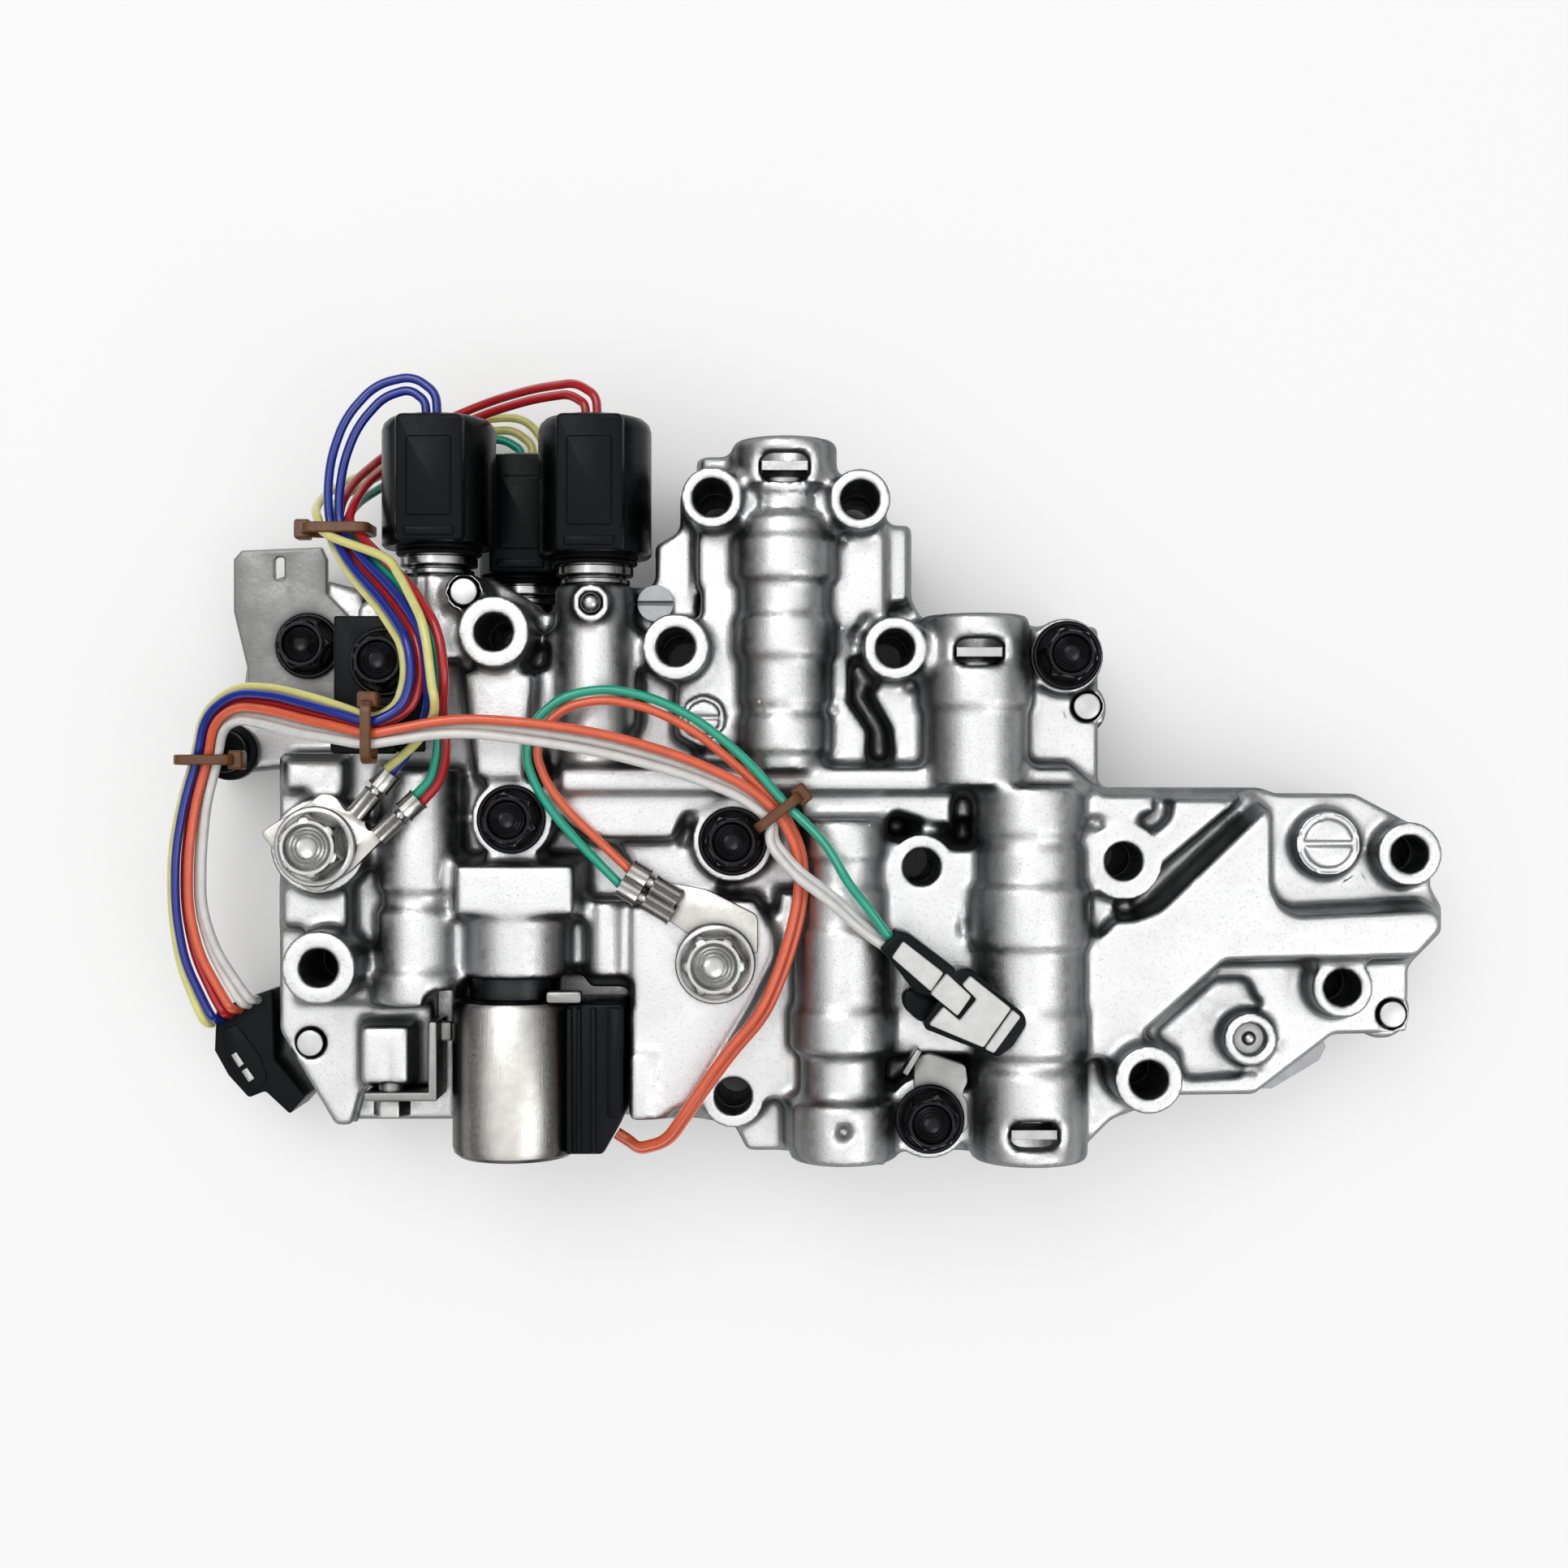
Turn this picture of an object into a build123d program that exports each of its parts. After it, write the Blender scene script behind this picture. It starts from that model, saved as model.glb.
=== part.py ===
"""Transmission valve body: two castings, a separator plate, valves, solenoids and a tied harness.

Frame: +X to the long nose of the casting, +Y to the solenoid side, +Z away from the gearbox.
The origin is the axis of the middle bolt bore, on the face that seals on the gearbox.
All sizes are in millimetres.
"""
from build123d import *
import math
import os

# Heights of the stack
lower_height = 18.0
plate_thickness = 1.2
deck_thickness = 4.8
plateau_rise = 9.0
casting_wall = 3.0
draft = 8.0
split_z = lower_height + plate_thickness
deck_z = split_z + deck_thickness
plateau_z = deck_z + plateau_rise
ridge_z = plateau_z + 2.0
tall_boss_z = plateau_z + 5.0
above_z = 60.0

# Through bolts and dowels
bolt_radius = 3.0
bolt_clearance = 0.15
through_radius = bolt_radius + bolt_clearance
column_radius = 5.2
dowel_radius = 2.35
dowel_gap = 0.05
dowel_wall = 1.2
short_post_foot = 4.0
short_hole_depth = 9.0

# Bolt bores: place, height of the boss, radius of the boss
bolt_bores = {
    "datum": (0.0, 0.0, plateau_z, 5.6),
    "far_left": (-103.7, -17.1, tall_boss_z, 6.3),
    "solenoid_left": (-73.7, 40.5, tall_boss_z, 6.1),
    "solenoid_right": (-42.5, 37.9, tall_boss_z, 5.7),
    "crown_left": (-36.3, 63.5, tall_boss_z, 5.2),
    "crown_right": (-10.9, 63.2, tall_boss_z, 5.2),
    "shoulder": (-4.9, 37.7, tall_boss_z, 5.4),
    "lower_left": (-32.9, -40.6, deck_z + 4.0, 5.5),
    "lower_right": (38.6, -36.3, tall_boss_z, 5.8),
    "groove": (35.1, 1.0, plateau_z, 6.7),
    "nose_top": (85.9, 2.1, deck_z + 5.5, 5.6),
    "nose_bottom": (73.7, -21.2, deck_z + 7.0, 5.3),
}

# Valve barrels: bore radius, axis, open end, closed end and the outside of the casting round them
barrel_axis_z = split_z + 11.8
crown_open_y = 74.0
shoulder_open_y = 43.7
front_open_y = -51.0
valves = {
    "pressure": dict(x=-23.8, bore=5.5, open_y=crown_open_y, closed_y=20.0, inset=5.2, plug=6.0,
                     spring=11.0, travel=4.0, window=True),
    "clutch": dict(x=9.5, bore=5.0, open_y=shoulder_open_y, closed_y=17.0, inset=6.7, plug=3.6,
                   spring=6.6, travel=1.6, window=True),
    "ratio": dict(x=18.8, bore=5.5, open_y=front_open_y, closed_y=8.5, inset=5.5, plug=6.0,
                  spring=11.0, travel=4.0, window=True),
    "manual": dict(x=-13.7, bore=5.0, open_y=front_open_y, closed_y=4.5, inset=6.0, plug=6.0,
                   spring=11.0, travel=4.0, window=False),
}
barrel_stations = {
    "pressure": [(74.0, 65.8, 9.1), (65.8, 60.2, 7.0), (60.2, 56.6, 8.2), (56.6, 50.0, 9.1),
                 (50.0, 43.0, 7.9), (43.0, 36.8, 8.7), (36.8, 28.6, 7.8), (28.6, 25.7, 7.2),
                 (25.7, 20.3, 7.9), (20.3, 16.8, 6.8)],
    "clutch": [(43.7, 34.5, 9.3), (34.5, 28.0, 9.8), (28.0, 14.0, 9.1)],
    "ratio": [(14.0, 6.0, 9.6), (6.0, 2.9, 9.0), (2.9, -3.6, 9.6), (-3.6, -13.3, 10.6),
              (-13.3, -25.2, 9.7), (-25.2, -32.0, 10.2), (-32.0, -35.4, 9.2), (-35.4, -51.0, 10.2)],
    "manual": [(8.4, 1.9, 7.8), (1.9, -4.2, 7.1), (-4.2, -11.0, 7.7), (-11.0, -25.0, 8.4),
               (-25.0, -32.0, 9.2), (-32.0, -40.5, 7.3), (-40.5, -51.0, 9.3)],
}
window_width = 8.2
window_length = 4.6
retainer_thickness = 1.6
retainer_width = 7.8
retainer_drop = 3.0
retainer_gap = 0.1
pin_radius = 1.5
land_clearance = 0.03
plug_gap = 0.05
spring_wire = 1.0
spring_pitch = 2.3
spring_gap = 0.25
seat_gap = 0.05
neck_radius = 2.6
land_length = 4.0
port_length = 3.6
port_margin = 1.0
land_pitch = 2.5 * land_length
retainer_stand = 2.4
plug_pin_stand = 3.6

# Plain barrels: axis x, axis z, stations
solenoid_tower_x = -57.4
left_tower_x = -85.0
tower_axis_z = split_z + 6.8
plain_barrels = [
    (solenoid_tower_x, tower_axis_z, [(49.5, 19.0, 7.0)]),
    (left_tower_x, tower_axis_z, [(51.2, 36.0, 6.8)]),
    (-88.4, split_z + 6.6, [(17.0, -4.0, 7.4), (-4.0, -8.0, 6.5), (-8.0, -19.0, 7.5), (-19.0, -24.5, 8.4)]),
    (-71.0, tower_axis_z, [(-2.0, -19.5, 9.5)]),
    (-55.2, split_z + 7.6, [(-6.0, -19.5, 3.6)]),
    (-49.3, split_z + 3.6, [(-25.5, -33.0, 6.5), (-33.0, -44.5, 8.2)]),
]

# Outline of the upper casting at its flange
casting_outline = [
    (-114.0, 20.0), (-101.0, 20.0), (-100.0, 46.0), (-93.0, 51.2), (-76.0, 51.2), (-68.0, 46.5),
    (-65.0, 42.5), (-64.4, 49.5), (-46.9, 49.5), (-46.9, 57.0), (-42.5, 59.5), (-42.5, 66.0),
    (-39.5, 68.5), (-39.5, 72.5), (-32.9, 72.5), (-32.9, 74.0), (-14.7, 74.0), (-14.7, 69.5),
    (-5.8, 66.0), (-5.8, 60.5), (-1.2, 60.5), (-1.2, 47.5), (0.6, 43.7), (18.8, 43.7),
    (18.8, 42.5), (32.0, 42.5), (32.0, 13.8), (61.0, 13.8), (64.0, 12.7), (78.0, 12.7),
    (85.0, 9.0), (91.5, 5.0), (91.5, -4.0), (93.5, -7.5), (93.5, -12.0), (87.5, -18.0),
    (87.5, -30.0), (74.0, -30.3), (60.0, -41.0), (46.0, -41.2), (34.5, -45.5), (29.0, -51.0),
    (8.6, -51.0), (-4.4, -51.0), (-30.5, -51.0), (-33.0, -46.1), (-40.0, -45.2), (-51.1, -45.2),
    (-51.1, -21.8), (-59.0, -21.8), (-59.0, -19.5), (-86.4, -19.5), (-86.4, -39.5), (-99.0, -39.5),
    (-101.0, -46.5), (-104.0, -46.5), (-114.0, -29.5),
]

# Raised pads of the upper casting: outline at the top and height
pads = [
    ([(20, -14.3), (29.5, -14.3), (33.8, -9.4), (37.2, -9.3), (41.7, -7.6), (59.8, 9.9), (60.8, 9.0),
      (60.9, -3.8), (62.6, -7.3), (65.4, -8.7), (88.7, -7.6), (90.2, -8.6), (90.2, -11), (86, -15.5),
      (52.7, -16.2), (37.8, -29.4), (33.3, -33.1), (20, -33.1)], plateau_z),
    ([(26, 5.6), (33.3, 6.8), (37.2, 6.5), (40, 5.4), (43.3, 8.2), (43.8, 11.7), (55.2, 11.7),
      (40.6, -0.6), (35, -3), (26, -3)], plateau_z),
    ([(24, 12.4), (40.3, 12.4), (40.3, 9.8), (37.0, 9.0), (24, 9.0)], plateau_z),
    ([(-5.5, 1.2), (-4.6, 4.0), (0, 5.7), (3.8, 4.3), (5.1, 2.9), (12, 2.9), (12, -2.4), (6.5, -4.5),
      (5.9, -11.5), (9, -16.4), (12, -32.6), (-4.3, -32.6), (-6.3, -8.7)], plateau_z),
    ([(-21, 13.4), (5.1, 13.4), (5.1, 7.4), (1.5, 7.9), (-2.5, 9.2), (-5, 10), (-21, 10)],
     plateau_z),
    ([(-62.5, 13.3), (-62.5, 17.2), (25.4, 17.2), (30.0, 13.3)], ridge_z),
    ([(-65.4, 14.3), (-62.8, 16.2), (-33.5, 16.2), (-33.5, 12.5), (-38, 10.5), (-41.5, 9.4),
      (-43.4, 5.0), (-57.9, 5.0), (-61.4, 7.5)], plateau_z + 0.5),
    ([(-52.3, 3), (-41, 3), (-38.6, -1.7), (-34.5, -5.5), (-44, -6.5), (-47.3, -3.8), (-50, -1.2)],
     deck_z + 5.0),
    ([(-50.4, -6.8), (-40.4, -5.5), (-29, -6.0), (-25.5, -12), (-25.5, -16), (-29.8, -24.5),
      (-40.4, -42.3), (-50.4, -43.7)], deck_z + 6.0),
    ([(-24.8, -4.7), (-15, -4.7), (-15, -39.8), (-26.9, -41.2), (-34.8, -37.6), (-29, -25), (-24.8, -17)],
     deck_z + 4.0),
    ([(-98.2, -28.1), (-89.8, -28.1), (-89.8, -38.3), (-98.2, -38.3)], deck_z + 6.0),
    ([(-110, -14), (-92, -14), (-92, -24), (-110, -24)], deck_z + 1.5),
    ([(-112.1, -4), (-100.7, -4), (-100.7, -10.4), (-112.1, -10.4)], deck_z + 5.0),
    ([(-112.1, 18.5), (-101.6, 18.5), (-101.6, 13.5), (-112.1, 13.5)], deck_z + 3.0),
    ([(-79.4, 33.5), (-67.5, 33.5), (-68.2, 23.6), (-69.0, 15.9), (-77.2, 15.9)], plateau_z + 1.0),
    ([(-65, 41), (-62, 41), (-62, 18), (-65, 18)], deck_z + 5.0),
    ([(-52.6, 41), (-49.8, 41), (-49.8, 25), (-52.6, 25)], deck_z + 5.0),
    ([(-38.2, 48), (-30.4, 48), (-30.4, 44), (-32.3, 41.5), (-32.3, 37), (-30.6, 27), (-31.6, 21.5),
      (-38, 20.6), (-42.5, 23), (-42.5, 30), (-38, 34)], deck_z + 7.0),
    ([(-38.9, 57.2), (-32.3, 58.2), (-32.3, 49.4), (-38.9, 49.4)], deck_z + 7.0),
    ([(-38.4, 71.5), (-33.4, 71.5), (-33.4, 64), (-38.4, 64)], deck_z + 7.0),
    ([(-15, 55.5), (-6.4, 57.8), (-6.4, 44.5), (-9.9, 44.3), (-12, 41.5), (-15.6, 43.6)],
     deck_z + 7.0),
    ([(-6.8, 59.6), (-2.1, 59.6), (-2.1, 46.3), (-6.8, 46.3)], deck_z + 5.0),
    ([(-15.8, 42), (-12.7, 42), (-12.7, 30.5), (-15.8, 30.5)], deck_z + 6.0),
    ([(-14.1, 28.8), (-12.9, 28.8), (-9.4, 23.6), (-9.7, 19), (-14.1, 19)], deck_z + 6.0),
    ([(-4.2, 30.9), (-1.3, 30.2), (1.8, 27.3), (1.8, 18), (-4.4, 18), (-5.0, 24.2), (-8.6, 30.6)],
     deck_z + 6.0),
    ([(14, 41.8), (31.3, 41.8), (31.3, 14.5), (14, 14.5)], deck_z + 4.0),
    ([(8.6, -4.2), (32, -4.2), (34, -6.5), (34, -10.5), (31, -13), (8.6, -13)], deck_z + 5.0),
    ([(-80.6, 0.3), (-60.2, 0.3), (-60.2, -8.2), (-80.6, -8.2)], plateau_z + 3.0),
    ([(-22.4, -41.6), (-5.8, -41.6), (-5.8, -48), (-22.4, -48)], plateau_z + 3.0),
]

# Round bosses that carry short bolts, dowels, casting marks and plugs: place, height, radius
fastener_seats = {
    "left_recess": (-71.2, 8.3, plateau_z, 7.0),
    "middle_recess": (-32.8, 4.5, plateau_z, 7.0),
    "sensor_seat": (1.2, -43.4, plateau_z, 7.2),
    "shoulder_seat": (25.4, 36.8, deck_z + 6.0, 6.6),
    "hidden_seat": (-93.0, 35.5, plateau_z, 6.4),
    "terminal_left": (-104.9, 3.6, plateau_z, 8.2),
    "terminal_middle": (-35.9, -16.9, deck_z + 6.0, 8.2),
}
dowels = {
    "dowel_solenoid": (-79.2, 47.6, tower_axis_z + 5.0, plateau_z + 2.0),
    "dowel_shoulder": (29.4, 28.1, lower_height - 8.0, deck_z + 4.0),
    "dowel_nose": (84.4, -26.6, lower_height - 8.0, deck_z),
    "dowel_left": (-108.3, -31.7, lower_height - 8.0, deck_z),
}
dowel_stand = 0.4
marks = {"mark_left": (-38.0, 26.0, deck_z + 7.0, 4.4), "mark_right": (72.1, 3.9, deck_z + 4.0, 5.8)}
pit_outline = [
    (53.2, -20.1), (59, -20.1), (60, -23), (64.8, -28.1), (65.5, -32.4), (61, -37.6), (47.2, -38.4),
    (46.4, -33.5), (41.5, -30.5),
]
pit_depth = 2.4
orifice_boss = (58.5, -30.7, deck_z + 3.0, 4.7)
orifice_radius = 2.8
orifice_ball_radius = 1.25
port_boss_y = 45.8
port_boss_radius = 3.3
port_radius = 1.9
port_boss_rise = 8.2
slotted_screw_at = (-46.7, 46.4)
slotted_head_radius = 3.2
slotted_shank_radius = 2.0
slotted_shank_length = 3.0
slotted_head_height = 2.0
slot_depth = 1.0
slot_width = 0.8
orifice_plug_height = 1.4

# Passages in the underside of the upper casting: centre line, width, roof
upper_passages = [
    ([(30, -18), (42, -15), (50, -8), (57, -1)], 5.0, plateau_z - casting_wall),
    ([(56, -12.2), (84, -12.0)], 4.0, plateau_z - casting_wall),
    ([(43, 5), (50, 9)], 4.0, deck_z - 2.0),
    ([(1, -11), (2, -28)], 6.0, plateau_z - casting_wall),
    ([(-60, 11.5), (-45, 11.5), (-38, 14.5)], 5.0, plateau_z - casting_wall),
    ([(-46, -10), (-46, -36)], 5.0, deck_z + casting_wall),
    ([(-72.5, 30), (-73, 17)], 5.0, plateau_z - casting_wall),
    ([(27, 18), (27, 26)], 5.0, deck_z + 1.0),
    ([(-35, 30), (-37, 46), (-35, 54)], 4.5, deck_z + casting_wall),
    ([(-11, 52), (-10, 45)], 4.5, deck_z + casting_wall),
    ([(48, -18), (62, -18)], 3.5, deck_z - 2.5),
    ([(-105, -8), (-96, -20), (-92, -30)], 4.5, deck_z - 2.0),
    ([(-98, 28), (-98, 14), (-88, 12)], 4.5, deck_z - 2.0),
]

# Passages of the lower casting that open at the face on the gearbox: centre lines
passage_width = 6.0
passage_depth = 8.0
upper_side_depth = 5.0
lower_passages = [
    [(84, -6), (64, -6), (50, 6), (44, 6)],
    [(80, -13), (54, -13), (44, -19.5)],
    [(52, -34), (48, -28), (30, -28), (30, -12)],
    [(20, 34), (20, 22), (2, 22), (2, 12)],
    [(22, 8), (22, -20), (14, -30)],
    [(-8, 8), (-8, -24), (4, -34)],
    [(-18, -42), (-18, -20), (-30, -8), (-30, 8)],
    [(-24, 64), (-24, 40), (-14, 30), (-14, 22)],
    [(-34, 52), (-34, 34), (-44, 26), (-44, 16), (-30, 16)],
    [(-58, 36), (-58, 10), (-46, 2), (-46, -16)],
    [(-66, 24), (-66, -6), (-56, -20), (-42, -30)],
    [(-84, 40), (-84, 12), (-76, 4), (-76, -14)],
    [(-108, 12), (-94, 12), (-94, -12), (-94, -38), (-104, -36)],
]

# Passages of the lower casting that open under the separator plate: centre lines
lower_top_passages = [
    [(78, -8), (60, -8), (46, -22)],
    [(28, -40), (16, -30), (16, -8), (24, 0)],
    [(8, 30), (8, 18), (22, 12)],
    [(-6, -16), (-6, -36)],
    [(-20, 8), (-20, -30), (-26, -38)],
    [(-24, 58), (-24, 24), (-10, 16)],
    [(-50, 30), (-50, 8), (-62, 0)],
    [(-88, 28), (-88, 4), (-100, -6)],
]

# Solenoids
solenoid_radius = 10.0
solenoid_shell_wall = 1.2
solenoid_window = 6.3
nose_radius = 5.0
nose_gap = 0.05
nose_length = 9.0
nose_pocket = 0.5
nose_flange_radius = 6.2
nose_flange_thickness = 2.4
neck_length = 2.4
neck_step = 1.8
overmould_rise = 1.2
overmould_side_gap = 0.4
overmould_end_gap = 0.2
cap_length = 3.0
cap_step = 0.6
lower_solenoid_x = -71.6
lower_solenoid_z = 9.3
lower_solenoid_radius = 8.6
lower_solenoid_top_y = 74.8
steel_solenoid_radius = 11.0
steel_solenoid_x = -71.5
steel_seat_y = -19.5
steel_far_y = -51.2
steel_collar = 3.6
steel_neck_step = 2.7
lower_solenoid_seat_y = 47.5
lower_nose_length = 3.4
lower_nose_pocket = 8.0
steel_bay = (-86.4, -51.1, steel_far_y, -21.8)
steel_can_round = 1.2
steel_connector_heights = (14.5, 32.5)
steel_connector_round = 1.0
solenoid_seats = {"a": (left_tower_x, 51.2), "b": (solenoid_tower_x, 49.5)}
solenoid_top_y = 78.9
nose_bores = [(x, seat_y, -1) for x, seat_y in solenoid_seats.values()]
nose_bores.append((steel_solenoid_x, steel_seat_y, 1))
port_floor_z = tower_axis_z + nose_radius + 1.0
port_fractions = (0.42, 0.62, 0.82)

# Angle clamp that holds the steel solenoid
clamp_face_y = -39.5
clamp_screw_x = -93.4
clamp_screw_z = deck_z + 1.5
clamp_screw_radius = 2.5
clamp_screw_length = 9.0
clamp_thickness = 1.6
clamp_leg_x = -86.3
clamp_leg_y = (-39.6, -27.2)
clamp_foot_x = -97.6
clamp_top_z = deck_z + 6.0
clamp_finger = (-86.3, -81.0, -31.0, -27.6)
clamp_finger_z = split_z + 6.0
clamp_gap = 0.1
clamp_hex = 2.9
clamp_hex_height = 3.2

# Lower casting and separator plate
lower_lobes = [
    [(-102, 19), (-130.6, 16), (-131.6, 24.5), (-124, 28), (-121.5, 51), (-114, 53.5), (-101, 50)],
    [(-110, -26), (-122, -26), (-127, -36), (-120, -42), (-108, -42)],
]
lobe_heights = (12.0, 3.0)
lower_skirts = [(-86.6, -51.0, -46.4, -19.0), (-101.5, -86.0, -46.4, -39.0)]
plate_tab = [(58, -40.6), (64.1, -40.5), (72.6, -35.4), (73.8, -33.0), (72, -28), (60, -28)]
can_trough = (-83.0, -51.1, -50.0, -19.0, 13.0)
lower_solenoid_notch = (-81.5, -61.5, 44.6, 60.0)
underside_bolts_at = [(20.0, -22.0), (-43.0, -24.0), (-52.5, 22.0), (56.0, -24.5), (-96.5, 20.0), (-16.0, 46.0)]
underside_head_radius = 5.0
underside_head_height = 4.0
underside_recess = 5.0
underside_shank = 12.0
underside_wall = 2.2
underside_gap = 1.0
underside_socket = 2.5
underside_socket_depth = 1.5
plate_holes = [(60.0, 4.0), (33.0, -22.0), (24.0, 22.0), (2.0, -18.0), (-14.0, -14.0), (-24.0, 34.0),
               (-46.0, 12.0), (-60.0, 14.0), (-96.0, -14.0), (-73.0, 24.0), (9.0, 24.0), (19.0, -10.0)]
plate_hole_radius = 1.2

# Bolts
flange_radius = 6.0
flange_thickness = 1.6
hex_across = 8.6
hex_height = 5.0
shank_foot_z = 10.0
bracket_shank_foot_z = 2.0
washer_radius = 6.1
washer_thickness = 1.2
silver_flange_radius = 6.6
silver_hex_across = 9.6

# Sheet brackets
sheet = 1.6
crimp_radius = 1.9
crimp_rise = 2.2
bracket_seat_z = 12.0
left_connector_top = 17.0
steel_connector_outline = [(-65.0, -22.6), (-51.4, -22.6), (-51.4, -44.0), (-55.5, -50.5), (-65.0, -50.5)]
bracket_outline = [(-123.4, 57.3), (-108.6, 57.9), (-107.6, 55.6), (-107.6, 49.4), (-103.8, 45.4),
                   (-103.8, 34.9), (-106.0, 28.6), (-122.6, 27.9), (-122.4, 35.6), (-124.9, 46.0), (-124.9, 55.6)]
bracket_slot = (-117.2, -115.6, 51.8, 56.0)
bracket_bolt = (-111.0, 39.7)
switch_at = (-125.3, 20.3)
switch_radius = 5.2
switch_step = 1.4
switch_base_height = 3.0
switch_height = 7.0
bracket_round = 0.6
sensor_block_outline = [(-101.8, 28.2), (-90.5, 28.2), (-90.5, 19.6), (-101.8, 19.6)]
sensor_block_height = 2.8
sensor_block_round = 0.8
sensor_plate_outline = [(-101.8, 43.5), (-86.0, 43.5), (-86.0, 20.0), (-101.8, 20.0)]

# Where the camera of the photograph stood, to place what was traced on it
picture_middle = 966
picture_scale = 2484.0
camera_height = 383.0
picture_x = -23.93
picture_y = 14.41

# Traced outlines, in pixels of the photograph
twin_terminal_px = [(380, 990), (396, 977), (414, 981), (428, 1002), (446, 984), (458, 996), (448, 1014),
                    (456, 1026), (474, 1008), (484, 1020), (463, 1043), (433, 1073), (394, 1100), (373, 1094),
                    (320, 1026), (338, 1014)]
twin_barrels_px = [((438, 1004), (482, 952)), ((466, 1030), (516, 984))]
single_terminal_px = [(818, 1086), (872, 1096), (934, 1128), (934, 1176), (872, 1168), (806, 1122)]
single_barrels_px = [((836, 1108), (776, 1072)), ((828, 1128), (764, 1090))]
plug_px = [(1113, 1160), (1163, 1199), (1147, 1222), (1099, 1180)]
latch_px = [(1167, 1200), (1197, 1228), (1180, 1252), (1147, 1225)]
socket_px = [(1211, 1208), (1256, 1252), (1224, 1298), (1145, 1264), (1161, 1243), (1184, 1258)]
bracket_px = [(1122, 1300), (1218, 1300), (1214, 1362), (1172, 1398), (1122, 1362)]
plug_mouth_px = (1105.5, 1169.5)
plug_top = 43.0
latch_top = 44.0
socket_top = 43.5
housing_foot = 34.5
housing_round = 0.5
ratio_clear_radius = 11.2
manual_clear_radius = 9.4
left_connector_outline = [(-127.1, -26.5), (-116.7, -22.8), (-116.4, -35.5), (-110.7, -42.2), (-113.7, -45.6),
                          (-118.2, -41.4), (-121.2, -42.6), (-124.9, -38.5), (-127.4, -34)]

# Cable ties: centre of the bundle, direction across it, lanes to each side, slack over and under it
wire_radius = 0.8
lay = 0.925
tie_thickness = 1.1
tie_width = 1.8
tie_gap = 0.7
tie_head_width = 2.4
tie_head_height = 3.6
tie_head_offset = 0.6
largest_bend = 400.0
bend_share = 0.45
ties = {
    "first": ((-102.0, 59.0, 29.5), (-1.0, 0.0), 3.8, 1.9),
    "second": ((-93.7, 23.1, 44.2), (0.0, 1.0), 3.0, 0.6),
    "third": ((-126.8, 18.7, 24.0), (1.0, 0.0), 3.0, 0.7),
    "fourth": ((-24.9, 9.55, 38.0), (0.79, 0.61), 2.5, 0.45),
}

# Trunks of the harness: traced point, height, pitch across the bundle and pitch up through it
fan = [(443, 690, 33.0, 1.2, 1.85), (488, 737, 39.2, 1.4, 1.85), (518, 785, 44.2, 1.4, 1.85),
       (524, 835, 44.4, 1.4, 1.85)]
to_second_tie = [(509, 877, 44.2, 1.2, 1.85)]
to_twin_terminal = [(523, 872, 40.2, 1.3, 1.85)]
to_first_crimp = [(512, 912, 37.2, 0.0, 0.0), (497, 936, 35.6, 0.0, 0.0)]
to_second_crimp = [(546, 922, 38.2, 1.7, 0.8), (537, 962, 35.8, 1.7, 0.2)]
to_third_tie = [(420, 892, 42.6, 1.1, 1.85), (378, 882, 39.6, 1.3, 1.85), (334, 870, 35.6, 1.3, 1.85),
                (292, 866, 31.2, 1.2, 1.85), (262, 888, 27.2, 1.0, 1.85)]
to_left_connector = [(240, 985, 22.8, 1.0, 1.85), (230, 1050, 22.0, 1.2, 1.85), (230, 1120, 21.6, 1.2, 1.85),
                     (244, 1180, 21.4, 1.5, 1.85), (268, 1226, 21.4, 1.75, 1.0)]
from_plug = [(1088, 1157, 39.4, 0.5, 1.85), (1062, 1130, 41.3, 0.9, 1.85), (1032, 1098, 42.2, 1.1, 1.85)]
pair_to_fourth_tie = [(988, 1066, 41.8, 1.1, 1.85), (958, 1030, 39.4, 1.0, 1.85)]
lead_to_fourth_tie = [(1004, 1044, 40.4, 1.0, 1.85)]
from_steel_solenoid = [(787, 1412, 26.5, 1.0, 1.85), (820, 1404, 29.5, 1.0, 1.85), (841, 1373, 32.5, 1.0, 1.85),
                       (870, 1330, 33.8, 1.1, 1.85), (899, 1290, 34.6, 1.2, 1.85), (935, 1250, 35.5, 1.2, 1.85),
                       (957, 1200, 36.3, 1.2, 1.85), (973, 1150, 36.8, 1.2, 1.85), (984, 1100, 37.0, 1.1, 1.85),
                       (983, 1048, 37.3, 1.0, 1.85)]
back_to_second_tie = [(920, 968, 39.2, 1.1, 1.85), (850, 935, 41.2, 1.4, 1.85), (752, 905, 42.8, 1.6, 1.85),
                      (655, 890, 44.0, 1.5, 1.85), (560, 884, 44.6, 1.2, 1.85)]
loop = [(915, 940, 38.0, 1.9, 0.4), (856, 892, 37.4, 1.9, 0.0), (800, 865, 37.2, 1.9, 0.0),
        (745, 854, 37.4, 1.9, 0.0), (695, 864, 37.6, 1.9, 0.0), (662, 893, 37.6, 1.9, 0.0),
        (653, 930, 37.2, 1.9, 0.0), (667, 968, 36.6, 2.0, 0.0), (692, 1003, 36.0, 2.2, 0.0),
        (726, 1038, 34.8, 2.7, 0.0)]

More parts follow.
